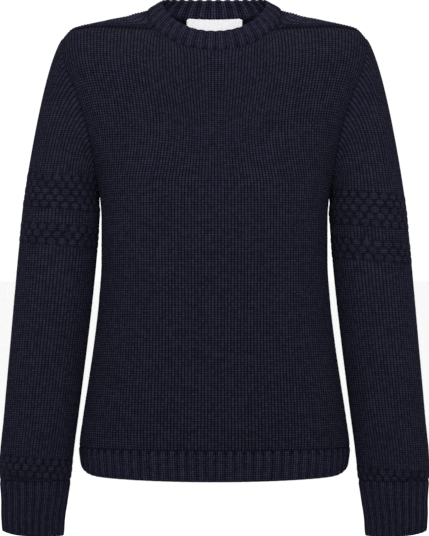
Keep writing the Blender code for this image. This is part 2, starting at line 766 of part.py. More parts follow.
def wall_object(name, outer, inner, closed, collection, slot):
    """Loft a wall between an outer and an inner grid; ribbed walls have fewer inner columns."""
    mesh_data = bmesh.new()
    outside = skin(mesh_data, outer, closed)
    inside = skin(mesh_data, inner, closed)
    per_mark = (len(outside[0]) - 1) // (len(inside[0]) - 1)
    if per_mark == 1:
        partner = {}
        for row in range(len(outside)):
            partner.update(zip(outside[row], inside[row]))
        edges = [edge for edge in mesh_data.edges if edge.is_boundary and edge.verts[0] in partner]
        for edge in edges:
            close_rim(mesh_data, list(edge.verts), [partner[vertex] for vertex in edge.verts])
    else:
        for row in (0, -1):
            for mark in range(len(inside[0]) - 1):
                rim = outside[row][mark * per_mark:(mark + 1) * per_mark + 1]
                close_rim(mesh_data, rim, inside[row][mark:mark + 2])
        if not closed:
            for place in (0, -1):
                for row in range(len(outside) - 1):
                    rim = [outside[row][place], outside[row + 1][place]]
                    close_rim(mesh_data, rim, [inside[row][place], inside[row + 1][place]])
    bmesh.ops.recalc_face_normals(mesh_data, faces=mesh_data.faces[:])
    return finish_object(name, mesh_data, collection, slot)


def label_object(collection, slot):
    """Bare label hung inside the back neck, just under the collar seam."""
    mesh_data = bmesh.new()
    bmesh.ops.create_grid(mesh_data, x_segments=LABEL_COLUMNS, y_segments=LABEL_ROWS, size=0.5)
    for vertex in mesh_data.verts:
        across = vertex.co.x * LABEL_WIDTH
        drop = (0.5 - vertex.co.y) * LABEL_LENGTH
        share = (1.0 - abs(across / NECK_HALF_WIDTH) ** NECK_SQUARENESS) ** (1.0 / NECK_SQUARENESS)
        seam = NECK_BACK * share
        back = seam - WALL - LABEL_CLEARANCE + LABEL_LEAN * drop
        height = float(torso_height(across, seam)) - LABEL_DROP - drop
        vertex.co = (across * MM, back * MM, height * MM)
    made = finish_object("neck_label", mesh_data, collection, slot)
    thickness = made.modifiers.new("label_thickness", "SOLIDIFY")
    thickness.thickness = LABEL_THICKNESS * MM
    thickness.offset = 1.0
    return made


def build():
    clear_scene()
    collection = bpy.data.collections.new("sweater")
    bpy.context.scene.collection.children.link(collection)
    body_knit = material("navy_knit", NAVY, KNIT_ROUGHNESS)
    sleeve_knit = material("navy_sleeve_knit", NAVY_LIT, KNIT_ROUGHNESS)
    rib_knit = material("navy_rib", NAVY_RIB, RIB_ROUGHNESS)
    label_cloth = material("white_label", LABEL_WHITE, LABEL_ROUGHNESS)
    panels = (("front", -1, front_neck_angles()), ("back", 1, back_neck_angles()))
    for name, facing, neck_angles in panels:
        outer, inner = panel_walls(facing, neck_angles)
        wall_object(name, outer, inner, False, collection, body_knit)
        outer, inner = hem_walls(facing)
        wall_object("hem_rib_" + name, outer, inner, False, collection, rib_knit)
    for name, side in (("left", -1), ("right", 1)):
        outer, inner = sleeve_walls(side)
        wall_object("sleeve_" + name, outer, inner, True, collection, sleeve_knit)
        outer, inner = cuff_walls(side)
        wall_object("cuff_" + name, outer, inner, True, collection, rib_knit)
    outer, inner = collar_walls()
    wall_object("collar", outer, inner, True, collection, rib_knit)
    label_object(collection, label_cloth)


build()
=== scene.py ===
"""Crew-neck knit sweater in its worn, hollow form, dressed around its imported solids."""
import math

import bmesh
import bpy
import numpy as np
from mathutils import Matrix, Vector
from bpy.props import FloatProperty, FloatVectorProperty, PointerProperty


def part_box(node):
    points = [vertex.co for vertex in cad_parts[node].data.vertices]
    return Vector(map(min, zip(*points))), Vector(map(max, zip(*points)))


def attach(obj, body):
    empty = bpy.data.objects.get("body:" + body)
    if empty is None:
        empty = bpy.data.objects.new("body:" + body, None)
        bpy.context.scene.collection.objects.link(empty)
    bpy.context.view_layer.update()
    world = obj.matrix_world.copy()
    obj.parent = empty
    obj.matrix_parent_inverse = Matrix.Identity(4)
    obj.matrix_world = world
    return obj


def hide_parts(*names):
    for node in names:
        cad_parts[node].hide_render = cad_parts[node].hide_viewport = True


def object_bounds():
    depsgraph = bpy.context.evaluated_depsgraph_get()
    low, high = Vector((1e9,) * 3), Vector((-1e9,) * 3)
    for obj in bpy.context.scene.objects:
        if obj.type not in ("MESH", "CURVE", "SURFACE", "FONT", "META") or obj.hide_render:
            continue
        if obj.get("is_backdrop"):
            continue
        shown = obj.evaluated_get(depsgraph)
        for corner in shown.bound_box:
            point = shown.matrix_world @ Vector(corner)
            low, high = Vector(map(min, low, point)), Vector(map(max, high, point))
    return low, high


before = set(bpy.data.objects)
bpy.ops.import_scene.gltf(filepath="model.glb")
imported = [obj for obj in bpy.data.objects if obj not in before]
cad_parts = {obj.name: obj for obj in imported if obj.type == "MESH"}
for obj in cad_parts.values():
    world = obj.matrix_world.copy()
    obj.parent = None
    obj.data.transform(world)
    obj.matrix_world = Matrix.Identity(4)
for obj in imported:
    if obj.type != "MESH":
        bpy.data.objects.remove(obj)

bl_info = {
    "name": "Knit sweater",
    "version": (1, 0, 0),
    "blender": (4, 5, 0),
    "location": "3D View > Sidebar > Sweater",
    "description": "Knits the sweater's panels, sleeves, ribs and label on their solids",
    "category": "Add Mesh",
}

# Forms are worked out in millimetres; meshes are in metres
MM = 0.001

# Torso form, a row for each level ring
TORSO_COLUMNS = ("height", "half_width", "front_depth", "back_depth", "squareness")
TORSO = (
    (-612.0, 170.5, 102.0, 97.0, 2.40),
    (-600.0, 172.5, 104.0, 99.0, 2.40),
    (-563.0, 175.0, 107.0, 102.0, 2.40),
    (-529.0, 171.0, 108.0, 101.0, 2.45),
    (-477.0, 163.0, 110.0, 99.0, 2.50),
    (-425.0, 155.4, 113.0, 98.0, 2.50),
    (-373.0, 149.5, 117.0, 97.5, 2.50),
    (-321.0, 146.3, 120.5, 98.5, 2.50),
    (-269.0, 146.3, 122.0, 101.0, 2.50),
    (-243.0, 148.0, 121.5, 102.5, 2.50),
    (-213.0, 154.5, 119.0, 104.0, 2.50),
    (-155.0, 172.0, 111.0, 104.0, 2.50),
    (-108.0, 190.0, 101.0, 100.0, 2.45),
    (-66.0, 204.0, 84.0, 92.5, 2.35),
    (-53.0, 204.0, 74.0, 89.5, 2.30),
    (-42.0, 201.5, 63.0, 86.0, 2.25),
    (-32.0, 196.0, 52.5, 82.0, 2.20),
    (-22.0, 183.0, 38.5, 77.0, 2.20),
    (-16.0, 160.0, 30.5, 73.0, 2.20),
    (-9.0, 137.0, 20.5, 66.0, 2.20),
    (-4.5, 113.0, 15.0, 60.5, 2.20),
    (2.0, 92.0, 7.0, 49.5, 2.20),
    (7.0, 76.0, 2.0, 38.0, 2.20),
)
HEM_SEAM = -563.0

# Armhole loop, forward shoulder seam and neck loop on the torso form
ARMHOLE_TOP = -32.0
ARMHOLE_BOTTOM = -239.0
ARMHOLE_HALF_WIDTH = 50.0
ARMHOLE_ROUNDNESS = 1.3
SHOULDER_SEAM_COLUMNS = ("out_from_middle", "forward")
SHOULDER_SEAM = (
    (83.5, 33.0),
    (122.0, 26.0),
    (158.0, 14.0),
    (183.0, 4.5),
    (196.0, 0.0),
)
NECK_HALF_WIDTH = 87.0
NECK_FRONT = 74.0
NECK_BACK = 58.0
NECK_SQUARENESS = 2.1
COLLAR_TOP_HALF_WIDTH = 68.0
COLLAR_TOP_FRONT = 60.0
COLLAR_TOP_BACK = 50.0
COLLAR_TOP_COLUMNS = ("place_front_to_back", "height")
COLLAR_TOP = (
    (-60.0, -28.0),
    (-42.0, -12.5),
    (-20.0, 3.0),
    (0.0, 14.0),
    (25.0, 19.0),
    (50.0, 20.0),
)
COLLAR_BULGE = 1.6
FRONT_NECK_RIBS = 14
BACK_NECK_RIBS = 20

# Sleeves, a row for each level ring of one sleeve
SLEEVE_COLUMNS = ("height", "centre_out", "centre_forward", "half_width", "half_depth")
SLEEVE = (
    (-678.0, 235.0, 13.0, 39.4, 24.5),
    (-659.0, 235.0, 12.5, 40.4, 26.0),
    (-633.0, 233.3, 11.5, 42.3, 29.0),
    (-607.0, 232.3, 10.5, 45.2, 33.0),
    (-594.0, 232.0, 10.0, 46.8, 35.5),
    (-568.0, 230.0, 9.0, 47.5, 38.0),
    (-529.0, 225.5, 7.0, 48.1, 41.0),
    (-477.0, 220.0, 5.0, 49.1, 44.5),
    (-425.0, 214.5, 3.0, 50.0, 48.0),
    (-373.0, 209.3, 1.5, 50.7, 51.0),
    (-321.0, 204.4, 0.5, 51.0, 53.5),
    (-262.0, 199.4, 0.0, 50.4, 55.0),
)
SLEEVE_SQUARENESS = 2.15
SLEEVE_HEAD = -262.0
HEAD_COLUMNS = ("angle", "out", "forward", "down", "leave_length", "arrive_length")
HEAD = (
    (0.0, 0.70, 0.00, 0.71, 0.40, 0.30),
    (30.0, 0.71, 0.06, 0.70, 0.48, 0.45),
    (60.0, 0.72, 0.12, 0.68, 0.66, 0.75),
    (110.0, 0.75, 0.10, 0.65, 0.80, 0.95),
    (150.0, 0.60, 0.05, 0.80, 0.80, 0.95),
    (180.0, 0.55, 0.00, 0.84, 0.80, 0.95),
)
HEAD_PROBE = 10.0
CUFF_SEAM = -606.0
CUFF_END = -677.0
CUFF_RIBS = 24
CUFF_OUTER_LIFT = 6.0
CUFF_LIFT_SHARPNESS = 4.0
HEM_END = -602.0
HEM_RIBS = 38
HEM_SIDE_LIFT = 5.0
HEM_CORNER_LIFT = 9.0
HEM_CORNER_SHARPNESS = 24.0

# Knit gauge: points across each wale, points along each course, and how many of each
WALE_POINTS = 2
SLEEVE_WALE_POINTS = 4
COURSE_POINTS = 2
COURSE = 2.9
UNDERARM_WALES = 6
SHOULDER_WALES = 27
NECK_WALES = 42
LOWER_COURSES = 114
UPPER_COURSES = 66
UNDERARM_SHARE = 0.13
SLEEVE_WALES = 72

# Walls: longest rim, grid steps between a lining's points, and reach of the weld
LONGEST_MITRE = 1.6
LINING_STEP = 6
SLEEVE_LINING_STEP = 20
RIB_LINING_STEP = 4
WELD = 0.002

# Spans of rows in the sleeve head: start share, end share and number of rows
HEAD_ROWS = ((0.0, 0.72, 40), (0.72, 1.0, 40))

# Relief of plain knit and of a piece's edges, and painted shade at a piece's edges
SLEEVE_RELIEF = 0.7
WALE_CREST_POWER = 0.8
STITCH_RELIEF_IN_GAPS = 0.35
CHANCE_STEP = 7919
EDGE_FADE_STEPS = 2.0
SEAM_FADE_STEPS = 1.6
EDGE_SHADE = 0.85

# Folds beside the shoulder seams, with painted shadow along them and painted light on the back's
# shoulders; places are grid steps from the seam or its ends
FOLD_PUFF = 2.4
FOLD_SINK = 2.0
FOLD_SHADE = 0.6
FOLD_BACK_SHADE = 0.5
FOLD_ROWS = 3.5
FOLD_CREST = 6.0
FOLD_LIT = 1.1
FOLD_LIT_CREST = 15.0
FOLD_LIT_ROWS = 12.0
FOLD_TIP_FADE = (2, 12)
FOLD_NECK_FADE = (-2, 6)

# Bands of raised cells: side, length of the top below the sleeve head's ring, rows of cells
BANDS = (
    (-1, -50.4, 5),
    (-1, 13.8, 3),
    (-1, 316.4, 3),
    (1, -27.9, 5),
    (1, 33.4, 3),
    (1, 326.5, 2),
)
BAND_TILT = 0.08
CELL_WALES = 3
CELL_PITCH = 8.7
CELL_WIDTH = 0.80
CELL_HEIGHT = 0.58
CELL_SINK = 0.15
CELL_INNER_HEIGHT = 0.4
CELL_INNER_FADE = (-45.0, -25.0)
CELL_OUTER_HEIGHT = 0.4
CELL_OUTER_FADE = (28.0, 46.0)
# Painted shade in the gaps between the cells, lighter on the cells
CELL_GAP_SHADE = 0.45
CELL_SHADE = 0.95
CELL_LIT_FROM = 0.7
BAND_MARGIN = 0.1

# One rib: raised share at even places along its pitch, two knit wales and two purl wales
RIB_PROFILE = (0.02, 0.0, 0.05, 0.35, 0.88, 1.0, 0.86, 1.0, 0.88, 0.35)
RIB_WALES = 4
RIB_FIRST_WALE = 0.35
RIB_BASE = 0.25
RIB_STITCHES = 0.6
RIB_FADE_ROWS = 4
RIB_SEAM_STRENGTH = 0.3
RIB_END_STRENGTH = 0.65
RIB_SEAM_ROWS = 2.0
RIB_OVER_SEAM = 0.8
# Painted shade in the ribs' grooves, lighter on their crests
RIB_LIT_FROM = 0.8
RIB_GROOVE_SHADE = 0.70
RIB_CREST_SHADE = 1.06
RIB_END_DROP = 1.0

# Free edge of the collar, smooth in front and scalloped behind
COLLAR_ROWS = 21
COLLAR_EDGE = 0.7
COLLAR_SCALLOP = 1.1
COLLAR_SMOOTH_FROM = -20.0
COLLAR_SCALLOPED_FROM = 20.0

# Painted shade of the ribs' seams and of the holes below them, and painted light on the inner
# faces, less in their grooves
SEAM_SHADE = 0.85
HOLE_ROWS = 4
HEM_HOLE_SHADE = 0.45
CUFF_HOLE_SHADE = 0.15
COLLAR_HOLE_SHADE = 0.30
INNER_PAINTED_LIGHT = 2.0
INNER_GROOVE_SHADE = 1.0
INNER_GROOVE_FROM = 0.2

# Neck label, hung below the back neck seam
LABEL_COLUMNS = 37
LABEL_ROWS = 15
LABEL_LENGTH = 27.0
LABEL_CORNER = 3.0
LABEL_CORNER_DROP = 2.2
LABEL_BELOW_SEAM = 1.55
LABEL_FORWARD = 4.25
LABEL_LEAN = 0.10
LABEL_FACE_DROP = 0.7

# Look of the yarn; a dye pair is the darkest and the lightest share of its colour
PANEL_BUMP = 0.9
SLEEVE_BUMP = 0.6
RIB_BUMP = 0.8
FUZZ_BUMP = 0.3
# Painted shade in the gaps between wales, between a stitch's legs and between stitches, lighter on
# the crests
WALE_GAP_SHADE = 0.10
SLEEVE_WALE_GAP_SHADE = 0.30
SHADE_SUM = 2.75
WALE_RIDGE_POWER = 1.1
CELL_RIDGE = 0.65
LEG_SPLIT_WIDTH = 0.22
LEG_SPLIT_SHADE = 0.75
LEG_SLANT = 0.25
STITCH_GAP_SHADE = 0.32
STITCH_DYE = (0.76, 1.24)
STREAK_DYE = (0.96, 1.04)
MOTTLE_DYE = (0.97, 1.03)
FUZZ_DYE = (0.80, 1.20)
STREAK_STRETCH = (0.11, 0.45)
LIGHTEST_SHADE = 2.6
SHEEN_WEIGHT = 0.020
SHEEN_ROUGHNESS = 0.5
YARN_ROUGHNESS = 0.9
YARN_SPECULAR = 0.008

# Noise of the finishes: scale and detail, and the part of its range that is used
FUZZ_NOISE = (2600.0, 3.0)
STREAK_NOISE = (1.0, 1.0)
MOTTLE_NOISE = (22.0, 4.0)
LABEL_NOISE = (90.0, 3.0)
FLOOR_NOISE = (3.0, 3.0)
NOISE_SPREAD = (0.3, 0.7)

# Look of the label and of the floor
LABEL_THREAD = 0.55
LABEL_WEAVE_DYE = (0.95, 1.03)
LABEL_BUMP = 0.08
LABEL_BUMP_STRENGTH = 0.4
LABEL_ROUGHNESS = 0.55
LABEL_SHEEN = 0.1
FLOOR_DYE = (0.99, 1.01)
FLOOR_ROUGHNESS = 0.9
FLOOR_SPECULAR = 0.1

# Studio, in metres: lights with their place, aim and size, and the camera
KEY_LIGHT = ((0.0, -1.29, 0.22), (0.0, 0.0, -0.19), (1.2, 0.5))
KEY_LIGHT_SPREAD = 90.0
TOP_LIGHT = ((0.0, 0.3, 0.8), (0.0, 0.0, 0.0), (0.8, 0.3))
SIDE_LIGHT_PLACE = (2.3, 0.1, 0.1)
SIDE_LIGHT_AIM_OUT = 0.2
SIDE_LIGHT_SIZE = (0.6, 2.0)
FLOOR_RADIUS = 250.0
FLOOR_CORNERS = 96
CAMERA_HEIGHT = -0.3315
CAMERA_LENS = 206.7
CAMERA_SENSOR = 36.0
CAMERA_REACH = 100.0

# Steps of the calculations
FINE_STEPS = 720
HALVINGS = 32
EASINGS = 400
PROBE = 0.02
COLLAR_PROBE = 0.01
LOWEST_SHOULDER = -150.0
LEVEL_WALLS_BELOW = ARMHOLE_BOTTOM - 40.0
SQUARE_WALLS_ABOVE = ARMHOLE_BOTTOM + 60.0
LEVEL_RAYS_BELOW = -170.0
FANNED_RAYS_ABOVE = -60.0
RAY_START_DROP = 70.0
RAY_START_SPREAD = 0.6
RAY_REACH = 3.0


class KnitSizes(bpy.types.PropertyGroup):
    """Sizes of the yarn, the stitches and the ribs"""

    cloth: FloatProperty(
        name="Cloth thickness",
        description="Thickness of the plain knit between its outer and inner face",
        default=0.0023,
        unit="LENGTH",
    )
    wale_relief: FloatProperty(
        name="Wale relief",
        description="How far each column of stitches stands over the gap beside it",
        default=0.00075,
        unit="LENGTH",
    )
    stitch_relief: FloatProperty(
        name="Stitch relief",
        description="How far each stitch stands over the gap below it",
        default=0.00022,
        unit="LENGTH",
    )
    unevenness: FloatProperty(
        name="Unevenness",
        description="How much single stitches differ in height",
        default=0.00007,
        unit="LENGTH",
    )
    rib_relief: FloatProperty(
        name="Rib relief",
        description="How far each rib stands over the groove beside it",
        default=0.0015,
        unit="LENGTH",
    )
    cell_relief: FloatProperty(
        name="Cell relief",
        description="How far each raised cell of the sleeve bands stands out",
        default=0.0022,
        unit="LENGTH",
    )
    seam_depth: FloatProperty(
        name="Seam depth",
        description="How far an edge turns in at a seam",
        default=0.0006,
        unit="LENGTH",
    )


class YarnColours(bpy.types.PropertyGroup):
    """Colours of the yarn, the label and the studio"""

    yarn: FloatVectorProperty(
        name="Yarn",
        description="Colour of the plain knit",
        subtype="COLOR",
        size=3,
        default=(0.0050, 0.0050, 0.0096),
    )
    rib_yarn: FloatVectorProperty(
        name="Rib yarn",
        description="Colour of the ribs",
        subtype="COLOR",
        size=3,
        default=(0.0064, 0.0064, 0.0126),
    )
    sheen: FloatVectorProperty(
        name="Fuzz",
        description="Colour of the light that the yarn's fuzz catches",
        subtype="COLOR",
        size=3,
        default=(0.55, 0.56, 0.85),
    )
    label: FloatVectorProperty(
        name="Label",
        description="Colour of the woven label",
        subtype="COLOR",
        size=3,
        default=(0.46, 0.46, 0.47),
    )
    floor: FloatVectorProperty(
        name="Floor",
        description="Colour of the studio floor",
        subtype="COLOR",
        size=3,
        default=(0.9, 0.9, 0.9),
    )


class StudioSettings(bpy.types.PropertyGroup):
    """Light and place of the studio"""

    sky: FloatProperty(
        name="Surrounding light",
        description="Brightness of the pale surroundings",
        default=1.04,
    )
    key: FloatProperty(
        name="Key light",
        description="Strength of the soft light above the front",
        default=9.0,
        unit="POWER",
    )
    rim: FloatProperty(
        name="Side lights",
        description="Strength of each soft light beside the sweater",
        default=9.0,
        unit="POWER",
    )
    top: FloatProperty(
        name="Top light",
        description="Strength of the soft light over the shoulders",
        default=8.0,
        unit="POWER",
    )
    drop: FloatProperty(
        name="Floor below cuffs",
        description="Height that the cuffs hang over the floor",
        default=0.08,
        unit="LENGTH",
    )
    distance: FloatProperty(
        name="Camera distance",
        description="Distance of the camera in front of the sweater's middle",
        default=4.0,
        unit="LENGTH",
    )


class SweaterSettings(bpy.types.PropertyGroup):
    """All settings of the sweater"""

    knit: PointerProperty(type=KnitSizes)
    colours: PointerProperty(type=YarnColours)
    studio: PointerProperty(type=StudioSettings)


def settings():
    return bpy.context.scene.sweater


def size_of(name):
    """A knit size in millimetres."""
    return getattr(settings().knit, name) / MM


def unit(vectors):
    return vectors / np.linalg.norm(vectors, axis=-1, keepdims=True)


def smooth_step(values, start, end):
    share = np.clip((values - start) / (end - start), 0.0, 1.0)
    return share * share * (3.0 - 2.0 * share)


def between(low, high, share):
    return low + (high - low) * share


def ease_between(share, start, leave, end, arrive):
    """Smooth way from a start to an end, with given steps of leaving and arriving."""
    left = 1.0 - share
    first = (1.0 + 2.0 * share) * left ** 2 * start + share * left ** 2 * leave
    return first + share ** 2 * (3.0 - 2.0 * share) * end + share ** 2 * (share - 1.0) * arrive


def smooth_curve(places, knots, values):
    """Read a smooth curve through a table's column, which never swings past its rows."""
    knots = np.asarray(knots, dtype=float)
    values = np.asarray(values, dtype=float)
    steps = np.diff(knots)
    slopes = np.diff(values) / steps
    tangents = np.zeros(len(knots))
    tangents[0] = slopes[0]
    tangents[-1] = slopes[-1]
    for row in range(1, len(knots) - 1):
        before = slopes[row - 1]
        after = slopes[row]
        if before * after > 0.0:
            tangents[row] = 2.0 * before * after / (before + after)
    places = np.clip(places, knots[0], knots[-1])
    row = np.clip(np.searchsorted(knots, places, side="right") - 1, 0, len(steps) - 1)
    share = (places - knots[row]) / steps[row]
    leave = steps[row] * tangents[row]
    arrive = steps[row] * tangents[row + 1]
    return ease_between(share, values[row], leave, values[row + 1], arrive)


def column(table, names, name):
    place = names.index(name)
    return [row[place] for row in table]


def table_curve(places, table, names, name):
    return smooth_curve(places, column(table, names, names[0]), column(table, names, name))


def torso_value(name, heights):
    return table_curve(heights, TORSO, TORSO_COLUMNS, name)


def torso_depth(facing, heights):
    """Depth of the torso form in front (-1) or behind (+1)."""
    return torso_value("front_depth" if facing < 0 else "back_depth", heights)


def torso_excess(points):
    """Below zero inside the torso form, above zero outside it."""
    across = points[..., 0]
    along = points[..., 1]
    heights = points[..., 2]
    squareness = torso_value("squareness", heights)
    depth = np.where(along < 0.0, torso_depth(-1, heights), torso_depth(1, heights))
    half_width = torso_value("half_width", heights)
    return np.abs(across / half_width) ** squareness + np.abs(along / depth) ** squareness - 1.0


def torso_normals(points):
    """Outward directions of the torso form, level below the armholes."""
    slopes = []
    for axis in range(3):
        probe = np.zeros(3)
        probe[axis] = PROBE
        slopes.append(torso_excess(points + probe) - torso_excess(points - probe))
    normals = unit(np.stack(slopes, axis=-1))
    normals[..., 2] *= smooth_step(points[..., 2], LEVEL_WALLS_BELOW, SQUARE_WALLS_ABOVE)
    return unit(normals)


def last_inside(near, far, point_at):
    """Halve the span between places inside and outside the torso form, down to its surface."""
    for _ in range(HALVINGS):
        trial = 0.5 * (near + far)
        outside = torso_excess(point_at(trial)) > 0.0
        far = np.where(outside, trial, far)
        near = np.where(outside, near, trial)
    return near


def onto_torso(points):
    """Move points onto the torso form, along rays from its middle."""
    lift = smooth_step(points[..., 2], LEVEL_RAYS_BELOW, FANNED_RAYS_ABOVE)
    middle = np.zeros(points.shape)
    middle[..., 0] = RAY_START_SPREAD * points[..., 0] * lift
    middle[..., 2] = points[..., 2] - RAY_START_DROP * lift
    reach = points - middle
    near = np.zeros(points.shape[:-1])
    far = np.full(points.shape[:-1], RAY_REACH)
    share = last_inside(near, far, lambda trial: middle + reach * trial[..., None])
    return middle + reach * share[..., None]


def torso_height(across, along):
    """Height of the torso form's upper side over places seen from above."""
    low = np.full(np.shape(across), LOWEST_SHOULDER)
    high = np.full(np.shape(across), TORSO[-1][0])
    return last_inside(low, high, lambda trial: np.stack([across, along, trial], axis=-1))


def travelled_along(points):
    """Length of the way along a polyline up to each of its points."""
    lengths = np.linalg.norm(np.diff(points, axis=0), axis=1)
    return np.concatenate([[0.0], np.cumsum(lengths)])


def read_line(places, knots, points):
    """Read points, which stand at the knots, at places between them."""
    return np.stack([np.interp(places, knots, points[:, axis]) for axis in range(3)], axis=-1)


def walk(points, shares):
    """Points at the given shares of the way along a fine polyline."""
    travelled = travelled_along(points)
    return read_line(shares * travelled[-1], travelled, points)


def even_shares(steps):
    return np.linspace(0.0, 1.0, steps + 1)


def signed_power(values, power):
    return np.sign(values) * np.abs(values) ** power


def torso_half_ring(height, facing, steps):
    """Half of a level ring from the left side seam to the right one, front (-1) or back (+1)."""
    angles = np.linspace(math.pi, 0.0, FINE_STEPS + 1)
    power = 2.0 / torso_value("squareness", height)
    across = torso_value("half_width", height) * signed_power(np.cos(angles), power)
    along = facing * torso_depth(facing, height) * np.abs(np.sin(angles)) ** power
    ring = np.stack([across, along, np.full(angles.shape, height)], axis=-1)
    return walk(ring, even_shares(steps))


def armhole_edge(side, facing, shares):
    """Half of an armhole loop from the underarm to the shoulder tip, front (-1) or back (+1)."""
    angles = np.linspace(math.pi, 0.0, FINE_STEPS + 1)
    centre = 0.5 * (ARMHOLE_TOP + ARMHOLE_BOTTOM)
    reach = 0.5 * (ARMHOLE_TOP - ARMHOLE_BOTTOM)
    heights = centre + reach * np.cos(angles)
    along = facing * ARMHOLE_HALF_WIDTH * np.abs(np.sin(angles)) ** ARMHOLE_ROUNDNESS
    squareness = torso_value("squareness", heights)
    depth = torso_depth(facing, heights)
    share = (1.0 - np.abs(along / depth) ** squareness) ** (1.0 / squareness)
    across = side * torso_value("half_width", heights) * share
    return walk(np.stack([across, along, heights], axis=-1), shares)


def shoulder_seam(side, steps):
    """Forward shoulder seam from the shoulder tip to the neck."""
    out = np.linspace(SHOULDER_SEAM[-1][0], SHOULDER_SEAM[0][0], FINE_STEPS + 1)
    along = -table_curve(out, SHOULDER_SEAM, SHOULDER_SEAM_COLUMNS, "forward")
    heights = torso_height(out, along)
    heights[0] = ARMHOLE_TOP
    return walk(np.stack([side * out, along, heights], axis=-1), even_shares(steps))


def neck_angle_of_seam():
    """Loop angle, from the side towards the front, at which the shoulder seam meets the neck."""
    return math.asin((SHOULDER_SEAM[0][1] / NECK_FRONT) ** (NECK_SQUARENESS / 2.0))


def neck_plan(angles, half_width, front, back):
    """A neck loop seen from above; angle 0 is the right side and -90 degrees the front."""
    power = 2.0 / NECK_SQUARENESS
    across = half_width * signed_power(np.cos(angles), power)
    sine = np.sin(angles)
    along = np.where(sine < 0.0, front, back) * signed_power(sine, power)
    return across, along


def neck_points(angles):
    across, along = neck_plan(angles, NECK_HALF_WIDTH, NECK_FRONT, NECK_BACK)
    return np.stack([across, along, torso_height(across, along)], axis=-1)


def even_neck_angles(facing, steps):
    """Loop angles that part the front or back of the neck loop into even lengths."""
    seam = neck_angle_of_seam()
    start = seam - math.pi if facing < 0 else math.pi + seam
    angles = np.linspace(start, -seam, FINE_STEPS + 1)
    travelled = travelled_along(neck_points(angles))
    return np.interp(even_shares(steps) * travelled[-1], travelled, angles)


def chest_row(facing, corner, steps):
    """Level row between the armholes, from the left armhole's corner point to the right one's."""
    ring = torso_half_ring(corner[2], facing, FINE_STEPS)
    between = ring[np.abs(ring[:, 1]) > abs(corner[1])]
    mirrored = corner * np.array([-1.0, 1.0, 1.0])
    return walk(np.concatenate([[corner], between, [mirrored]]), even_shares(steps))


def side_seam(side, shares):
    heights = HEM_SEAM + shares * (ARMHOLE_BOTTOM - HEM_SEAM)
    half_width = torso_value("half_width", heights)
    return np.stack([side * half_width, np.zeros(heights.shape), heights], axis=-1)


def patch(bottom, top, left, right):
    """Grid that blends between four edges, is evened out and then moved onto the torso form."""
    up = even_shares(len(left) - 1)[:, None, None]
    over = even_shares(len(top) - 1)[None, :, None]
    sides = (1.0 - over) * left[:, None] + over * right[:, None]
    ends = (1.0 - up) * bottom[None, :] + up * top[None, :]
    low = (1.0 - over) * bottom[0] + over * bottom[-1]
    high = (1.0 - over) * top[0] + over * top[-1]
    grid = sides + ends - (1.0 - up) * low - up * high
    grid[0] = bottom
    grid[-1] = top
    grid[:, 0] = left
    grid[:, -1] = right
    for _ in range(EASINGS):
        across = grid[1:-1, 2:] + grid[1:-1, :-2]
        along = grid[2:, 1:-1] + grid[:-2, 1:-1]
        grid[1:-1, 1:-1] = 0.25 * (across + along)
    grid[1:-1, 1:-1] = onto_torso(grid[1:-1, 1:-1])
    return grid


def armhole_shares():
    """Shares of the armhole edge at which the panels' wales and courses meet it."""
    below = np.linspace(0.0, UNDERARM_SHARE, UNDERARM_WALES * WALE_POINTS + 1)
    above = np.linspace(UNDERARM_SHARE, 1.0, UPPER_COURSES * COURSE_POINTS + 1)
    return np.concatenate([below, above[1:]])


def panel_grid(facing):
    """Grid of the front or back on the torso form, a row for each half course."""
    corner = UNDERARM_WALES * WALE_POINTS
    shares = armhole_shares()
    left = armhole_edge(-1, facing, shares)
    right = armhole_edge(1, facing, shares)
    seam = shoulder_seam(-1, SHOULDER_WALES * WALE_POINTS)
    neck = neck_points(even_neck_angles(facing, NECK_WALES * WALE_POINTS))
    mirrored = seam[::-1] * np.array([-1.0, 1.0, 1.0])
    top = np.concatenate([seam[:-1], neck, mirrored[1:]])
    chest = chest_row(facing, left[corner], len(top) - 1)
    row = np.concatenate([left[:corner], chest, right[:corner][::-1]])
    rise = even_shares(LOWER_COURSES * COURSE_POINTS)
    hem = torso_half_ring(HEM_SEAM, facing, len(row) - 1)
    lower = patch(hem, row, side_seam(-1, rise), side_seam(1, rise))
    upper = patch(chest, top, left[corner:], right[corner:])
    grid = np.full((len(lower) + len(upper) - 1, len(row), 3), np.nan)
    grid[:len(lower)] = lower
    grid[len(lower) - 1:, corner:len(row) - corner] = upper
    return grid


def sleeve_value(name, heights):
    return table_curve(heights, SLEEVE, SLEEVE_COLUMNS, name)


def sleeve_ring(side, height, angles):
    """A level sleeve ring; angle 0 is its outer side, 90 degrees its front."""
    power = 2.0 / SLEEVE_SQUARENESS
    out = sleeve_value("centre_out", height)
    out = out + sleeve_value("half_width", height) * signed_power(np.cos(angles), power)
    forward = sleeve_value("centre_forward", height)
    forward = forward + sleeve_value("half_depth", height) * signed_power(np.sin(angles), power)
    return np.stack([side * out, -forward, np.full(angles.shape, height)], axis=-1)


def even_ring(side, height, steps):
    """Points that part a sleeve ring into even lengths."""
    angles = np.linspace(0.0, 2.0 * math.pi, FINE_STEPS + 1)
    travelled = travelled_along(sleeve_ring(1, height, angles))
    places = np.arange(steps) / steps * travelled[-1]
    return sleeve_ring(side, height, np.interp(places, travelled, angles))


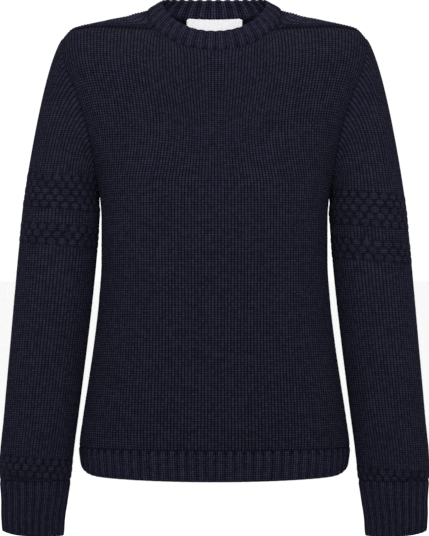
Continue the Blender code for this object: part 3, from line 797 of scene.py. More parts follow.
def sleeve_grid(side):
    """Sleeve from the armhole loop down to the cuff seam, and the rows' lengths above its ring."""
    half = SLEEVE_WALES * SLEEVE_WALE_POINTS // 2
    front = armhole_edge(side, -1, even_shares(half))[::-1]
    back = armhole_edge(side, 1, even_shares(half))
    loop = np.concatenate([front, back[1:-1]])
    columns = len(loop)
    head = even_ring(side, SLEEVE_HEAD, columns)
    below = even_ring(side, SLEEVE_HEAD - HEAD_PROBE, columns)
    places = np.arange(columns) / columns * 360.0
    turn = np.abs((places + 180.0) % 360.0 - 180.0)
    facing = np.where(places <= 180.0, 1.0, -1.0)
    leave = np.stack([
        side * table_curve(turn, HEAD, HEAD_COLUMNS, "out"),
        -facing * table_curve(turn, HEAD, HEAD_COLUMNS, "forward"),
        -table_curve(turn, HEAD, HEAD_COLUMNS, "down"),
    ], axis=-1)
    distance = np.linalg.norm(head - loop, axis=-1, keepdims=True)
    leave_length = table_curve(turn, HEAD, HEAD_COLUMNS, "leave_length")[:, None]
    arrive_length = table_curve(turn, HEAD, HEAD_COLUMNS, "arrive_length")[:, None]
    leave = unit(leave) * distance * leave_length
    arrive = unit(below - head) * distance * arrive_length
    rows = []
    for start_share, end_share, steps in HEAD_ROWS:
        for share in np.linspace(start_share, end_share, steps, endpoint=False):
            rows.append(ease_between(share, loop, leave, head, arrive))
    head_rows = len(rows)
    level = int(round((SLEEVE_HEAD - CUFF_SEAM) / COURSE * COURSE_POINTS))
    for height in np.linspace(SLEEVE_HEAD, CUFF_SEAM, level + 1):
        rows.append(even_ring(side, height, columns))
    grid = np.array(rows)
    steps = np.linalg.norm(np.diff(grid[:head_rows + 1], axis=0), axis=-1)
    travelled = np.zeros(grid.shape[:2])
    travelled[:head_rows] = -np.cumsum(steps[::-1], axis=0)[::-1]
    travelled[head_rows:] = (SLEEVE_HEAD - grid[head_rows:, :, 2])
    return grid, travelled


def mitre(first, second):
    """Shared rim direction of two walls, long enough that both keep their thickness."""
    middle = unit(first + second)
    cosine = np.sum(middle * first, axis=-1, keepdims=True)
    return middle / np.clip(cosine, 1.0 / LONGEST_MITRE, 1.0)


def tube_normals(grid):
    """Directions square to a tube's grid whose columns close on themselves."""
    along = np.gradient(grid, axis=0)
    around = np.roll(grid, -1, axis=1) - np.roll(grid, 1, axis=1)
    return unit(np.cross(around, along))


def armhole_rims(side, grid):
    """Rim directions round an armhole loop, shared by the sleeve and both panels."""
    return mitre(torso_normals(grid[0]), tube_normals(grid)[0] * side)


def rims_at(rims, facing, shares):
    """Armhole rim directions at shares of the way up from the underarm, front or back."""
    half = len(rims) // 2
    places = half * (1.0 + facing * shares)
    closed = np.concatenate([rims, rims[:1]])
    return read_line(places, np.arange(len(closed)), closed)


def collar_line(angles, share):
    """Line round the collar band at a share of its height over the neck loop."""
    base = neck_points(angles)
    across, along = neck_plan(angles, COLLAR_TOP_HALF_WIDTH, COLLAR_TOP_FRONT, COLLAR_TOP_BACK)
    heights = table_curve(along, COLLAR_TOP, COLLAR_TOP_COLUMNS, "height")
    top = np.stack([across, along, heights], axis=-1)
    outward = np.stack([across, along, np.zeros(across.shape)], axis=-1)
    bulge = COLLAR_BULGE * math.sin(math.pi * share)
    return (1.0 - share) * base + share * top + bulge * unit(outward)


def collar_normals(angles, share):
    around = collar_line(angles + COLLAR_PROBE, share) - collar_line(angles - COLLAR_PROBE, share)
    above = collar_line(angles, min(share + COLLAR_PROBE, 1.0))
    below = collar_line(angles, max(share - COLLAR_PROBE, 0.0))
    return unit(np.cross(around, above - below))


def neck_rims(angles):
    """Rim directions round the neck loop, shared by the collar and both panels."""
    return mitre(torso_normals(neck_points(angles)), collar_normals(angles, 0.0))


def border_steps(known):
    """Grid steps from each place to the edge of the piece, up to those where its fades end."""
    steps = np.zeros(known.shape)
    inside = known
    for _ in range(math.ceil(EDGE_FADE_STEPS)):
        wide = np.pad(inside, 1)
        inside = wide[1:-1, 1:-1].copy()
        for down in (0, 1, 2):
            for over in (0, 1, 2):
                rows, columns = known.shape
                inside &= wide[down:down + rows, over:over + columns]
        steps += inside
    return steps


def cloth_grid(mesh_data, points, wales, courses, shade, layers):
    """Lay one grid of quads over a grid of points, and return its corners in order."""
    rows, columns = points.shape[:2]
    uv_layer, shade_layer = layers
    made = bmesh.ops.create_grid(mesh_data, x_segments=columns - 1, y_segments=rows - 1, size=1.0)
    verts = made["verts"]
    places = np.nan_to_num(points * MM).reshape(-1, 3).tolist()
    values = shade.ravel().tolist()
    stitches = np.stack([wales.ravel(), courses.ravel()], axis=-1).tolist()
    stitch_of = dict(zip(verts, stitches))
    for vertex, place, value in zip(verts, places, values):
        vertex.co = place
        vertex[shade_layer] = value
    for vertex in verts:
        for loop in vertex.link_loops:
            loop[uv_layer].uv = stitch_of[vertex]
    return verts


def cut_away(mesh_data, verts, known):
    """Delete the corners that the piece doesn't reach, and return those it does."""
    flags = known.ravel().tolist()
    empty = [vertex for vertex, here in zip(verts, flags) if not here]
    kept = [vertex for vertex, here in zip(verts, flags) if here]
    bmesh.ops.delete(mesh_data, geom=empty, context="VERTS")
    return kept


def new_cloth():
    mesh_data = bmesh.new()
    layers = (
        mesh_data.loops.layers.uv.new("stitches"),
        # Per-vertex painted shade in seams, grooves, holes and folds, and painted light on the
        # collar's inner face and the back's shoulders
        mesh_data.verts.layers.float.new("painted_light_and_shade"),
    )
    return mesh_data, layers


def weld(mesh_data):
    bmesh.ops.remove_doubles(mesh_data, verts=mesh_data.verts[:], dist=WELD * MM)


def finish_cloth(name, mesh_data, finish, node):
    """Weld the mesh's closing lines, turn its faces outwards and put it in place of its solid."""
    weld(mesh_data)
    bmesh.ops.recalc_face_normals(mesh_data, faces=mesh_data.faces[:])
    mesh = bpy.data.meshes.new(name)
    mesh_data.to_mesh(mesh)
    mesh_data.free()
    mesh.shade_smooth()
    mesh.materials.append(finish)
    piece = bpy.data.objects.new(name, mesh)
    bpy.context.scene.collection.objects.link(piece)
    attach(piece, "root")
    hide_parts(node)
    return piece


def nodes_of(material):
    material.use_nodes = True
    return material.node_tree.nodes, material.node_tree.links


class Shader:
    """Short hand for a material's node tree."""

    def __init__(self, name):
        self.material = bpy.data.materials.new(name)
        self.nodes, self.links = nodes_of(self.material)
        self.surface = self.nodes["Principled BSDF"]

    def put(self, value, socket):
        if isinstance(value, bpy.types.NodeSocket):
            self.links.new(value, socket)
        else:
            socket.default_value = value

    def maths(self, operation, *values):
        node = self.nodes.new("ShaderNodeMath")
        node.operation = operation
        for value, socket in zip(values, node.inputs):
            self.put(value, socket)
        return node.outputs[0]

    def spread(self, value, low, high, out_low, out_high, smooth=False):
        """Spread the values from low to high evenly, or smoothly, from out_low to out_high."""
        node = self.nodes.new("ShaderNodeMapRange")
        node.interpolation_type = "SMOOTHSTEP" if smooth else "LINEAR"
        for place, number in enumerate((value, low, high, out_low, out_high)):
            self.put(number, node.inputs[place])
        return node.outputs[0]

    def noise(self, place, scale, detail):
        node = self.nodes.new("ShaderNodeTexNoise")
        node.inputs["Scale"].default_value = scale
        node.inputs["Detail"].default_value = detail
        self.put(place, node.inputs["Vector"])
        return node.outputs["Fac"]

    def uneven(self, noise, low, high):
        """Noise as a factor between low and high."""
        return self.spread(noise, *NOISE_SPREAD, low, high)

    def object_place(self):
        return self.nodes.new("ShaderNodeTexCoord").outputs["Object"]

    def stitch_place(self):
        node = self.nodes.new("ShaderNodeUVMap")
        node.uv_map = "stitches"
        parts = self.nodes.new("ShaderNodeSeparateXYZ")
        self.links.new(node.outputs[0], parts.inputs[0])
        return parts.outputs[0], parts.outputs[1]

    def attribute(self, name):
        node = self.nodes.new("ShaderNodeAttribute")
        node.attribute_name = name
        return node.outputs["Fac"]

    def tint(self, colour, factor):
        """The colour times a factor."""
        node = self.nodes.new("ShaderNodeVectorMath")
        node.operation = "SCALE"
        self.put(colour, node.inputs[0])
        self.put(factor, node.inputs["Scale"])
        return node.outputs[0]

    def bump(self, height, distance, strength):
        """Raise the surface by a height times a distance in millimetres."""
        node = self.nodes.new("ShaderNodeBump")
        node.inputs["Strength"].default_value = strength
        node.inputs["Distance"].default_value = distance * MM
        self.put(height, node.inputs["Height"])
        self.put(node.outputs[0], self.surface.inputs["Normal"])


def knit_finish(name, yarn, stitch_bump, gap=WALE_GAP_SHADE):
    """Matt knitted yarn: slanting legs, painted shade in the gaps between wales, legs and
    stitches, uneven dye and fuzz.
    """
    shader = Shader(name)
    wales, courses = shader.stitch_place()
    fraction = shader.maths("FRACT", wales)
    from_middle = shader.maths("ABSOLUTE", shader.maths("MULTIPLY_ADD", fraction, 2.0, -1.0))
    ridge = shader.maths("SINE", shader.maths("MULTIPLY", fraction, math.pi))
    ridge = shader.maths("POWER", shader.maths("MAXIMUM", ridge, 0.0), WALE_RIDGE_POWER)
    in_cell = shader.maths("MULTIPLY", shader.attribute("cell"), CELL_RIDGE)
    ridge = shader.maths("MAXIMUM", ridge, in_cell)
    split = shader.spread(from_middle, 0.0, LEG_SPLIT_WIDTH, LEG_SPLIT_SHADE, 1.0, smooth=True)
    slanted = shader.maths("MULTIPLY_ADD", from_middle, LEG_SLANT, courses)
    swing = shader.maths("COSINE", shader.maths("MULTIPLY", slanted, 2.0 * math.pi))
    stitch = shader.spread(swing, -1.0, 1.0, STITCH_GAP_SHADE, 1.0)
    height = shader.maths("MULTIPLY", shader.maths("MULTIPLY", ridge, split), stitch)

    cell = shader.nodes.new("ShaderNodeCombineXYZ")
    shader.put(shader.maths("FLOOR", wales), cell.inputs[0])
    shader.put(shader.maths("FLOOR", shader.maths("ADD", courses, 0.5)), cell.inputs[1])
    chance = shader.nodes.new("ShaderNodeTexWhiteNoise")
    chance.noise_dimensions = "2D"
    shader.put(cell.outputs[0], chance.inputs["Vector"])
    streak = shader.nodes.new("ShaderNodeCombineXYZ")
    for coordinate, stretch, socket in zip((wales, courses), STREAK_STRETCH, streak.inputs):
        shader.put(shader.maths("MULTIPLY", coordinate, stretch), socket)

    place = shader.object_place()
    fuzz = shader.noise(place, *FUZZ_NOISE)
    # Painted shade: darkest in the yarn's gaps and lightest on its crests, times the painted light
    # and shade of the vertex attribute
    shade = shader.spread(height, 0.0, 1.0, gap, SHADE_SUM - gap)
    for factor in (
        shader.spread(chance.outputs["Value"], 0.0, 1.0, *STITCH_DYE),
        shader.uneven(shader.noise(streak.outputs[0], *STREAK_NOISE), *STREAK_DYE),
        shader.uneven(shader.noise(place, *MOTTLE_NOISE), *MOTTLE_DYE),
        shader.uneven(fuzz, *FUZZ_DYE),
        shader.attribute("painted_light_and_shade"),
    ):
        shade = shader.maths("MULTIPLY", shade, factor)
    shader.put(shader.tint(yarn, shade), shader.surface.inputs["Base Color"])
    shader.bump(shader.maths("MULTIPLY_ADD", fuzz, FUZZ_BUMP, height), stitch_bump, 1.0)
    sheen = shader.spread(shade, 0.0, LIGHTEST_SHADE, 0.0, SHEEN_WEIGHT)
    shader.put(sheen, shader.surface.inputs["Sheen Weight"])
    shader.surface.inputs["Roughness"].default_value = YARN_ROUGHNESS
    shader.surface.inputs["Specular IOR Level"].default_value = YARN_SPECULAR
    shader.surface.inputs["Sheen Roughness"].default_value = SHEEN_ROUGHNESS
    shader.surface.inputs["Sheen Tint"].default_value = (*settings().colours.sheen, 1.0)
    shader.material.diffuse_color = (*yarn, 1.0)
    return shader.material


def label_finish():
    """Bare woven tape: fine cross weave with a soft sheen."""
    shader = Shader("woven_label")
    colour = settings().colours.label
    place = shader.object_place()
    weave = []
    for direction in ((1.0, 0.0, 0.0), (0.0, 0.0, 1.0)):
        dot = shader.nodes.new("ShaderNodeVectorMath")
        dot.operation = "DOT_PRODUCT"
        shader.put(place, dot.inputs[0])
        shader.put(direction, dot.inputs[1])
        turn = shader.maths("MULTIPLY", dot.outputs["Value"], 2.0 * math.pi / (LABEL_THREAD * MM))
        weave.append(shader.maths("SINE", turn))
    height = shader.maths("MULTIPLY", *weave)
    threads = shader.spread(height, -1.0, 1.0, *LABEL_WEAVE_DYE)
    mottle = shader.uneven(shader.noise(place, *LABEL_NOISE), *MOTTLE_DYE)
    shade = shader.maths("MULTIPLY", threads, mottle)
    shader.put(shader.tint(colour, shade), shader.surface.inputs["Base Color"])
    shader.bump(height, LABEL_BUMP, LABEL_BUMP_STRENGTH)
    shader.surface.inputs["Roughness"].default_value = LABEL_ROUGHNESS
    shader.surface.inputs["Sheen Weight"].default_value = LABEL_SHEEN
    shader.material.diffuse_color = (*colour, 1.0)
    return shader.material


def wale_crest(columns, points):
    """Height of each column across its wale, 0 in the gap between wales and 1 on the crest."""
    return np.sin(math.pi * (np.arange(columns) % points) / points)[None, :] ** WALE_CREST_POWER


def course_bead(rows):
    """Place of each row in its course: 1 on the stitch and 0 in the gap below it."""
    return (np.arange(rows) % COURSE_POINTS == 0).astype(float)[:, None]


def edge_share(border):
    """Grid steps from a piece's edge as a share, 0 on the edge and 1 well inside it."""
    return np.clip(border / EDGE_FADE_STEPS, 0.0, 1.0)


def seam_sink(border):
    """How far a piece turns in beside its edge."""
    return size_of("seam_depth") * np.clip(1.0 - border / SEAM_FADE_STEPS, 0.0, 1.0)


def plain_relief(rows, columns, points):
    """Relief of plain knit at each grid place, with slightly uneven stitches."""
    chance = np.random.default_rng(rows * CHANCE_STEP + columns)
    crest = wale_crest(columns, points)
    bead = course_bead(rows)
    stitches = chance.normal(0.0, 1.0, (rows // COURSE_POINTS + 1, columns // points + 1))
    uneven = np.repeat(np.repeat(stitches, COURSE_POINTS, axis=0), points, axis=1)
    uneven = uneven[:rows, :columns]
    height = size_of("wale_relief") * (crest - 0.5)
    stitch_height = between(STITCH_RELIEF_IN_GAPS, 1.0, crest)
    height = height + size_of("stitch_relief") * (bead - 0.5) * stitch_height
    return height + size_of("unevenness") * uneven * crest


class SWEATER_OT_panels(bpy.types.Operator):
    """Knit the front and the back on the torso form"""

    bl_idname = "sweater.panels"
    bl_label = "Front and back"

    def execute(self, context):
        finish = knit_finish("navy_plain_knit", settings().colours.yarn, PANEL_BUMP)
        for name, facing in (("front", -1), ("back", 1)):
            grid = panel_grid(facing)
            known = np.isfinite(grid[..., 0])
            normals = self.panel_normals(grid, known, facing)
            up = np.zeros(grid.shape)
            up[1:-1] = 0.5 * (grid[2:] - grid[:-2])
            up = np.where(np.isfinite(up), up, 0.0)
            border = border_steps(known)
            inside = edge_share(border)
            slant = (0.5 - wale_crest(grid.shape[1], WALE_POINTS)) * inside
            relief = plain_relief(*known.shape, WALE_POINTS) * inside
            fold, shadow = self.shoulder_fold(known.shape, facing)
            relief = relief - seam_sink(border) + fold * inside
            outer = grid + up * slant[..., None] + normals * relief[..., None]
            wales = np.broadcast_to(np.arange(grid.shape[1]) / WALE_POINTS, known.shape)
            courses = np.arange(grid.shape[0])[:, None] / COURSE_POINTS
            courses = np.broadcast_to(courses, known.shape)
            # Painted shade at the panel's edges and along the shoulder fold, and painted light on
            # the back's shoulders
            shade = between(EDGE_SHADE, 1.0, inside) * (1.0 - FOLD_SHADE * shadow)
            lining = (slice(None, None, LINING_STEP), slice(None, None, LINING_STEP))
            inner = grid - size_of("cloth") * normals
            mesh_data, layers = new_cloth()
            face = cloth_grid(mesh_data, outer, wales, courses, shade, layers)
            back = cloth_grid(
                mesh_data, inner[lining], wales[lining], courses[lining], shade[lining], layers
            )
            all_known = np.concatenate([known.ravel(), known[lining].ravel()])
            nearest = [
                LINING_STEP * np.rint(np.arange(count) / LINING_STEP).astype(int)
                for count in known.shape
            ]
            snapped = inner[np.ix_(*nearest)] * MM
            partner = dict(zip(face, snapped.reshape(-1, 3).tolist()))
            kept = cut_away(mesh_data, face + back, all_known)
            self.turn_in(mesh_data, kept, partner)
            piece = finish_cloth("knit_" + name, mesh_data, finish, name)
        return {"FINISHED"}

    def panel_normals(self, grid, known, facing):
        """Outward directions of a panel, mitred where the sleeves and the collar join it."""
        normals = torso_normals(np.where(known[..., None], grid, 0.0))
        normals[~known] = np.nan
        corner = UNDERARM_WALES * WALE_POINTS
        shares = armhole_shares()
        step = np.arange(len(shares))
        rows = LOWER_COURSES * COURSE_POINTS + np.maximum(step - corner, 0)
        columns = np.minimum(step, corner)
        for side, places in ((-1, columns), (1, -1 - columns)):
            rims = armhole_rims(side, sleeve_grid(side)[0])
            normals[rows, places] = rims_at(rims, facing, shares)
        angles = even_neck_angles(facing, NECK_WALES * WALE_POINTS)
        start = corner + SHOULDER_WALES * WALE_POINTS
        normals[-1, start:start + len(angles)] = neck_rims(angles)
        return normals

    def shoulder_fold(self, shape, facing):
        """Relief beside the shoulder seam, with painted shadow along it and painted light on the
        back's shoulders: the back puffs up and the front sinks.
        """
        corner = UNDERARM_WALES * WALE_POINTS
        over = np.arange(shape[1])
        from_edge = np.minimum(over, shape[1] - 1 - over) - corner
        seam = SHOULDER_WALES * WALE_POINTS
        along = smooth_step(from_edge, *FOLD_TIP_FADE)
        along *= 1.0 - smooth_step(from_edge - seam, *FOLD_NECK_FADE)
        below = (shape[0] - 1 - np.arange(shape[0]))[:, None]
        shadow = np.exp(-(below / FOLD_ROWS) ** 2) * along
        if facing < 0:
            return -FOLD_SINK * shadow, shadow
        puff = np.exp(-((below - FOLD_CREST) / FOLD_ROWS) ** 2) * along
        # Painted light on the back's shoulders, below the fold
        lit = np.exp(-((below - FOLD_LIT_CREST) / FOLD_LIT_ROWS) ** 2) * along
        return FOLD_PUFF * puff, FOLD_BACK_SHADE * shadow - FOLD_LIT * lit

    def turn_in(self, mesh_data, kept, partner):
        """Turn the panel's edge in, from its outer face to its inner one."""
        edges = {
            edge for vertex in kept if vertex in partner
            for edge in vertex.link_edges if edge.is_boundary
        }
        made = bmesh.ops.extrude_edge_only(mesh_data, edges=list(edges))
        for part in made["geom"]:
            if isinstance(part, bmesh.types.BMVert):
                for edge in part.link_edges:
                    if edge.other_vert(part) in partner:
                        part.co = partner[edge.other_vert(part)]


def closed_wall(outer, inner):
    """Rows of a wall that goes down its outer face and back up its inner one, and closes."""
    return np.concatenate([outer, inner[::-1], outer[:1]])


def close_round(values):
    """Repeat a tube's first column at its end."""
    return np.concatenate([values, values[:, :1]], axis=1)


class SWEATER_OT_sleeves(bpy.types.Operator):
    """Knit both sleeves, with their bands of raised cells"""

    bl_idname = "sweater.sleeves"
    bl_label = "Sleeves"

    def execute(self, context):
        yarn = settings().colours.yarn
        finish = knit_finish("navy_sleeve_knit", yarn, SLEEVE_BUMP, SLEEVE_WALE_GAP_SHADE)
        for name, side in (("left", -1), ("right", 1)):
            grid, travelled = sleeve_grid(side)
            rows, columns = grid.shape[:2]
            normals = tube_normals(grid) * side
            normals[0] = armhole_rims(side, grid)
            level = travelled >= 0.0
            crest = wale_crest(columns, SLEEVE_WALE_POINTS)
            plain = plain_relief(rows, columns, SLEEVE_WALE_POINTS)
            plain = np.where(level, plain, size_of("wale_relief") * (crest - 0.5))
            from_end = np.minimum(np.arange(rows), rows - 1 - np.arange(rows))[:, None]
            inside = edge_share(from_end)
            dome, in_band = self.cells(side, grid, travelled)
            out = side * grid[..., 0] - sleeve_value("centre_out", grid[..., 2])
            height = size_of("cell_relief")
            height = height * between(CELL_INNER_HEIGHT, 1.0, smooth_step(out, *CELL_INNER_FADE))
            height = height * between(1.0, CELL_OUTER_HEIGHT, smooth_step(out, *CELL_OUTER_FADE))
            relief = np.where(in_band, height * (dome - CELL_SINK), SLEEVE_RELIEF * plain) * inside
            relief = relief - seam_sink(from_end)
            slant = np.where(level & ~in_band, 0.5 - crest, 0.0) * inside
            outer = grid - np.gradient(grid, axis=0) * slant[..., None]
            outer = outer + normals * relief[..., None]
            # Painted shade in the gaps between the raised cells and at the sleeve's ends
            lit = smooth_step(dome, 0.0, CELL_LIT_FROM)
            shade = np.where(in_band, between(CELL_GAP_SHADE, CELL_SHADE, lit), 1.0)
            shade = between(EDGE_SHADE, 1.0, inside) * shade
            wales = np.arange(columns + 1) / SLEEVE_WALE_POINTS
            wales = np.broadcast_to(wales, (rows, columns + 1))
            courses = close_round(-travelled / COURSE)
            inner = close_round(grid - size_of("cloth") * normals)
            pick = np.unique(np.append(np.arange(0, rows, SLEEVE_LINING_STEP), rows - 1))
            points = closed_wall(close_round(outer), inner[pick])
            wales, courses, shade, cell = (
                closed_wall(values, values[pick])
                for values in (wales, courses, close_round(shade), close_round(in_band))
            )
            mesh_data, layers = new_cloth()
            cell_layer = mesh_data.verts.layers.float.new("cell")
            verts = cloth_grid(mesh_data, points, wales, courses, shade, layers)
            for vertex, value in zip(verts, cell.ravel().tolist()):
                vertex[cell_layer] = value
            node = "sleeve_" + name
            piece = finish_cloth("knit_" + node, mesh_data, finish, node)
        return {"FINISHED"}

    def cells(self, side, grid, travelled):
        """Height of the raised cells, 0 between them, and whether a place is in a band."""
        columns = grid.shape[1]
        across = np.arange(columns)[None, :] / (CELL_WALES * SLEEVE_WALE_POINTS)
        tilt = BAND_TILT * (grid[..., 0] - side * SLEEVE[-1][1])
        dome = np.zeros(travelled.shape)
        in_band = np.zeros(travelled.shape, dtype=bool)
        for band_side, top, cell_rows in BANDS:
            if band_side != side:
                continue
            down = (travelled - top - tilt) / CELL_PITCH
            in_band |= (down > -BAND_MARGIN) & (down < cell_rows + BAND_MARGIN)
            for row in range(cell_rows):
                over = 2.0 * ((across + 0.5 * (row % 2)) % 1.0 - 0.5) / CELL_WIDTH
                below = (down - row - 0.5) / CELL_HEIGHT
                dome = np.maximum(dome, 1.0 - over * over - below * below)
        return np.sqrt(np.clip(dome, 0.0, 1.0)), in_band


def close_tube(points, wales, courses, shade):
    """Repeat the first column of a tube's grids at their end."""
    step = wales[:, -1:] - wales[:, -2:-1]
    wales = np.concatenate([wales, wales[:, -1:] + step], axis=1)
    return close_round(points), wales, close_round(courses), close_round(shade)


def end_drop():
    """Step from the last row of a downward rib to the crest of its free end."""
    return np.array([0.0, 0.0, -RIB_END_DROP])


def level_normals(normals):
    return unit(normals * np.array([1.0, 1.0, 0.0]))


def rib_columns(ribs):
    """Raised share and wale place of each column round a number of ribs."""
    places = np.arange(ribs * len(RIB_PROFILE)) / len(RIB_PROFILE)
    return np.tile(RIB_PROFILE, ribs), RIB_WALES * (places - RIB_FIRST_WALE)


def rib_relief(raised, strength):
    """Relief of ribs at each grid place, a little knotted from course to course."""
    stitches = size_of("stitch_relief") * (course_bead(len(strength)) - 0.5)
    height = size_of("rib_relief") * (raised[None, :] - RIB_BASE) * strength[:, None]
    return height + RIB_STITCHES * stitches * raised[None, :]


def ribbed_wall(base, normals, raised, wales, tip, step, holes):
    """Grid round a ribbed wall: outer face, free end, inner face with its ribs between, seam.

    The holes are painted shade on the grooves' first courses below the seam. Returns the points
    and the wale, course and painted light and shade of each of them."""
    rows = len(base)
    from_seam = np.arange(rows)
    from_end = from_seam[::-1]
    strength = between(RIB_SEAM_STRENGTH, 1.0, smooth_step(from_seam, 0, RIB_FADE_ROWS))
    strength *= between(RIB_END_STRENGTH, 1.0, smooth_step(from_end, 0, RIB_FADE_ROWS))
    near_seam = np.clip(1.0 - from_seam / RIB_SEAM_ROWS, 0.0, 1.0)[:, None]
    depth = size_of("seam_depth") * near_seam * (1.0 - RIB_OVER_SEAM * raised[None, :])
    outer = base + normals * (rib_relief(raised, strength) - depth)[..., None]
    thickness = size_of("cloth") + rib_relief(1.0 - raised, strength)
    inner = base - normals * thickness[..., None]
    end = 0.5 * (outer[-1:] + inner[-1:]) + tip
    pick = np.append(np.arange(rows - 1, 0, -step), 0)
    points = np.concatenate([outer, end, inner[pick], outer[:1]])
    down = from_seam / COURSE_POINTS
    courses = np.concatenate([down, [down[-1] + 0.5], down[pick], [0.0]])
    courses = np.broadcast_to(courses[:, None], points.shape[:2])
    # Painted shade in the grooves, holes and seams, and painted light on the inner face
    lit = smooth_step(raised, 0.0, RIB_LIT_FROM)
    outer_shade = between(RIB_GROOVE_SHADE, RIB_CREST_SHADE, lit)
    inner_lit = smooth_step(1.0 - raised, INNER_GROOVE_FROM, 1.0)
    shade = np.broadcast_to(outer_shade, points.shape[:2]).copy()
    shade[rows + 1:-1] = between(INNER_GROOVE_SHADE, INNER_PAINTED_LIGHT, inner_lit)
    shade[:HOLE_ROWS] *= 1.0 - holes * (1.0 - lit)
    shade[0] *= SEAM_SHADE
    shade[-1] *= SEAM_SHADE
    return points, np.broadcast_to(wales, points.shape[:2]), courses, shade


class SWEATER_OT_hem(bpy.types.Operator):
    """Knit both halves of the hem rib"""

    bl_idname = "sweater.hem"
    bl_label = "Hem rib"

    def execute(self, context):
        finish = knit_finish("navy_hem_rib", settings().colours.rib_yarn, RIB_BUMP)
        rows = int(round((HEM_SEAM - HEM_END) / COURSE * COURSE_POINTS)) + 1
        raised, wales = rib_columns(HEM_RIBS)
        raised = np.append(raised, raised[0])
        wales = np.append(wales, wales[-1] + RIB_WALES / len(RIB_PROFILE))
        for name, facing in (("front", -1), ("back", 1)):
            base = []
            for share in np.linspace(0.0, 1.0, rows):
                height = HEM_SEAM + share * (HEM_END - HEM_SEAM)
                line = torso_half_ring(height, facing, len(raised) - 1)
                out = np.abs(line[:, 0] / line[0, 0])
                lift = HEM_SIDE_LIFT * out ** 2 + HEM_CORNER_LIFT * out ** HEM_CORNER_SHARPNESS
                line[:, 2] += share * lift
                base.append(line)
            base = np.array(base)
            normals = level_normals(torso_normals(base))
            wall = ribbed_wall(
                base, normals, raised, wales, end_drop(), RIB_LINING_STEP, HEM_HOLE_SHADE
            )
            mesh_data, layers = new_cloth()
            cloth_grid(mesh_data, *wall, layers)
            weld(mesh_data)
            ends = [edge for edge in mesh_data.edges if edge.is_boundary]
            bmesh.ops.holes_fill(mesh_data, edges=ends, sides=0)
            node = "hem_rib_" + name
            piece = finish_cloth("rib_hem_" + name, mesh_data, finish, node)
        return {"FINISHED"}


class SWEATER_OT_cuffs(bpy.types.Operator):
    """Knit both cuffs"""

    bl_idname = "sweater.cuffs"
    bl_label = "Cuffs"

    def execute(self, context):
        finish = knit_finish("navy_cuff_rib", settings().colours.rib_yarn, RIB_BUMP)
        rows = int(round((CUFF_SEAM - CUFF_END) / COURSE * COURSE_POINTS)) + 1
        shares = np.linspace(0.0, 1.0, rows)
        heights = CUFF_SEAM + shares * (CUFF_END - CUFF_SEAM)
        raised, wales = rib_columns(CUFF_RIBS)
        for name, side in (("left", -1), ("right", 1)):
            base = np.array([even_ring(side, height, len(raised)) for height in heights])
            out = side * base[..., 0] - sleeve_value("centre_out", heights)[:, None]
            nearness = 0.5 + 0.5 * out / sleeve_value("half_width", heights)[:, None]
            base[..., 2] += shares[:, None] * CUFF_OUTER_LIFT * nearness ** CUFF_LIFT_SHARPNESS
            normals = level_normals(tube_normals(base) * side)
            wall = ribbed_wall(
                base, normals, raised, wales, end_drop(), RIB_LINING_STEP, CUFF_HOLE_SHADE
            )
            mesh_data, layers = new_cloth()
            cloth_grid(mesh_data, *close_tube(*wall), layers)
            piece = finish_cloth("rib_cuff_" + name, mesh_data, finish, "cuff_" + name)
        return {"FINISHED"}


class SWEATER_OT_collar(bpy.types.Operator):
    """Knit the collar band, ribbed on both faces"""

    bl_idname = "sweater.collar"
    bl_label = "Collar"

    def execute(self, context):
        finish = knit_finish("navy_collar_rib", settings().colours.rib_yarn, RIB_BUMP)
        per_rib = len(RIB_PROFILE)
        front = even_neck_angles(-1, FRONT_NECK_RIBS * per_rib)
        behind = even_neck_angles(1, BACK_NECK_RIBS * per_rib)
        angles = np.concatenate([front[:-1], behind[::-1][:-1]])
        raised, wales = rib_columns(FRONT_NECK_RIBS + BACK_NECK_RIBS)
        shares = np.linspace(0.0, 1.0, COLLAR_ROWS)
        base = np.array([collar_line(angles, share) for share in shares])
        normals = np.array([collar_normals(angles, share) for share in shares])
        normals[0] = neck_rims(angles)
        tip = np.zeros((1, len(angles), 3))
        back = smooth_step(base[-1, :, 1], COLLAR_SMOOTH_FROM, COLLAR_SCALLOPED_FROM)
        tip[0, :, 2] = COLLAR_EDGE + COLLAR_SCALLOP * back * raised
        wall = ribbed_wall(base, normals, raised, wales, tip, 1, COLLAR_HOLE_SHADE)
        mesh_data, layers = new_cloth()
        cloth_grid(mesh_data, *close_tube(*wall), layers)
        piece = finish_cloth("rib_collar", mesh_data, finish, "collar")
        return {"FINISHED"}


class SWEATER_OT_label(bpy.types.Operator):
    """Hang the bare woven label inside the back neck"""

    bl_idname = "sweater.label"
    bl_label = "Neck label"

    def execute(self, context):
        low, high = (np.array(corner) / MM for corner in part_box("neck_label"))
        half = 0.5 * (high[0] - low[0])
        mesh_data, layers = new_cloth()
        across, drop = np.meshgrid(
            np.linspace(-half, half, LABEL_COLUMNS), np.linspace(0.0, LABEL_LENGTH, LABEL_ROWS)
        )
        share = np.abs(across / NECK_HALF_WIDTH) ** NECK_SQUARENESS
        seam = NECK_BACK * (1.0 - share) ** (1.0 / NECK_SQUARENESS)
        corner = np.clip((np.abs(across) - (half - LABEL_CORNER)) / LABEL_CORNER, 0.0, 1.0)
        corner *= np.clip(1.0 - drop / (2.0 * LABEL_CORNER), 0.0, 1.0)
        heights = torso_height(across, seam) - LABEL_BELOW_SEAM - drop - LABEL_CORNER_DROP * corner
        along = seam - LABEL_FORWARD + LABEL_LEAN * drop
        points = np.stack([across, along, heights], axis=-1)
        ones = np.ones(points.shape[:2])
        cloth_grid(mesh_data, points, ones, ones, ones, layers)
        # The mesh still has the flat grid's normals, so its second face is set straight down
        bmesh.ops.solidify(mesh_data, geom=mesh_data.faces[:], thickness=LABEL_FACE_DROP * MM)
        piece = finish_cloth("woven_label", mesh_data, label_finish(), "neck_label")
        return {"FINISHED"}


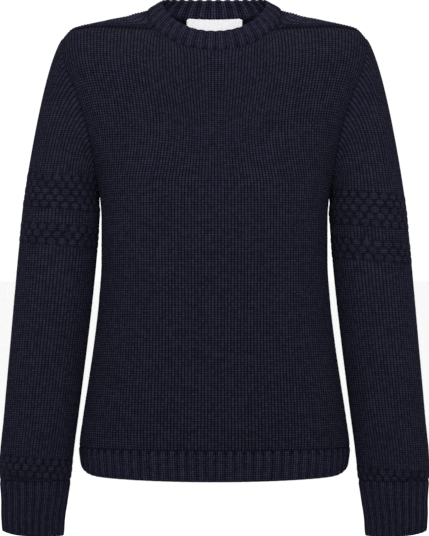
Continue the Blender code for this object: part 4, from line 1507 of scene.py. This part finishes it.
class SWEATER_OT_studio(bpy.types.Operator):
    """Set up the floor, the lights and the camera"""

    bl_idname = "sweater.studio"
    bl_label = "Studio"

    def execute(self, context):
        studio = settings().studio
        colours = settings().colours
        low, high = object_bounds()
        scene = bpy.context.scene
        mesh_data = bmesh.new()
        bmesh.ops.create_circle(
            mesh_data, cap_ends=True, segments=FLOOR_CORNERS, radius=FLOOR_RADIUS
        )
        down = (0.0, 0.0, low.z - studio.drop)
        bmesh.ops.translate(mesh_data, verts=mesh_data.verts[:], vec=down)
        mesh = bpy.data.meshes.new("floor")
        mesh_data.to_mesh(mesh)
        mesh_data.free()
        floor = bpy.data.objects.new("floor", mesh)
        scene.collection.objects.link(floor)
        shader = Shader("floor_paint")
        shade = shader.uneven(shader.noise(shader.object_place(), *FLOOR_NOISE), *FLOOR_DYE)
        shader.put(shader.tint(colours.floor, shade), shader.surface.inputs["Base Color"])
        shader.surface.inputs["Roughness"].default_value = FLOOR_ROUGHNESS
        shader.surface.inputs["Specular IOR Level"].default_value = FLOOR_SPECULAR
        mesh.materials.append(shader.material)
        floor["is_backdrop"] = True

        world = bpy.data.worlds.new("studio_surroundings")
        world.use_nodes = True
        background = world.node_tree.nodes["Background"]
        background.inputs["Color"].default_value = (1.0, 1.0, 1.0, 1.0)
        background.inputs["Strength"].default_value = studio.sky
        scene.world = world

        middle = 0.5 * (low.z + high.z)
        key_light = self.light("key_light", *KEY_LIGHT, studio.key)
        key_light.spread = math.radians(KEY_LIGHT_SPREAD)
        self.light("top_light", *TOP_LIGHT, studio.top)
        out, forward, up = SIDE_LIGHT_PLACE
        for name, side in (("left_light", -1.0), ("right_light", 1.0)):
            aim = (side * SIDE_LIGHT_AIM_OUT, 0.0, middle)
            self.light(name, (side * out, forward, up), aim, SIDE_LIGHT_SIZE, studio.rim)

        camera_data = bpy.data.cameras.new("camera")
        camera_data.lens = CAMERA_LENS
        camera_data.sensor_width = CAMERA_SENSOR
        camera_data.clip_end = CAMERA_REACH
        camera = bpy.data.objects.new("camera", camera_data)
        camera.location = (0.0, -studio.distance, CAMERA_HEIGHT)
        camera.rotation_euler = (math.radians(90.0), 0.0, 0.0)
        scene.collection.objects.link(camera)
        scene.camera = camera
        scene.view_settings.view_transform = "Standard"
        return {"FINISHED"}

    def light(self, name, place, aim, size, power):
        """Put up a soft light and return its settings."""
        data = bpy.data.lights.new(name, "AREA")
        data.shape = "RECTANGLE"
        data.size, data.size_y = size
        data.energy = power
        lamp = bpy.data.objects.new(name, data)
        lamp.location = place
        direction = Vector(aim) - Vector(place)
        lamp.rotation_euler = direction.to_track_quat("-Z", "Y").to_euler()
        bpy.context.scene.collection.objects.link(lamp)
        return data


class SWEATER_PT_sweater(bpy.types.Panel):
    """Settings and steps of the sweater"""

    bl_label = "Sweater"
    bl_idname = "SWEATER_PT_sweater"
    bl_space_type = "VIEW_3D"
    bl_region_type = "UI"
    bl_category = "Sweater"

    def draw(self, context):
        values = context.scene.sweater
        for group in (values.knit, values.colours, values.studio):
            box = self.layout.box()
            for name in group.__annotations__:
                box.prop(group, name)
        for step in STEPS:
            self.layout.operator(step.bl_idname)


STEPS = (
    SWEATER_OT_panels,
    SWEATER_OT_sleeves,
    SWEATER_OT_hem,
    SWEATER_OT_cuffs,
    SWEATER_OT_collar,
    SWEATER_OT_label,
    SWEATER_OT_studio,
)
CLASSES = (KnitSizes, YarnColours, StudioSettings, SweaterSettings, *STEPS, SWEATER_PT_sweater)


def register():
    for kind in CLASSES:
        bpy.utils.register_class(kind)
    bpy.types.Scene.sweater = PointerProperty(type=SweaterSettings)


def unregister():
    del bpy.types.Scene.sweater
    for kind in reversed(CLASSES):
        bpy.utils.unregister_class(kind)


def main():
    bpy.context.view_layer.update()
    register()
    bpy.ops.sweater.panels()
    bpy.ops.sweater.sleeves()
    bpy.ops.sweater.hem()
    bpy.ops.sweater.cuffs()
    bpy.ops.sweater.collar()
    bpy.ops.sweater.label()
    bpy.ops.sweater.studio()


if __name__ == "__main__":
    main()
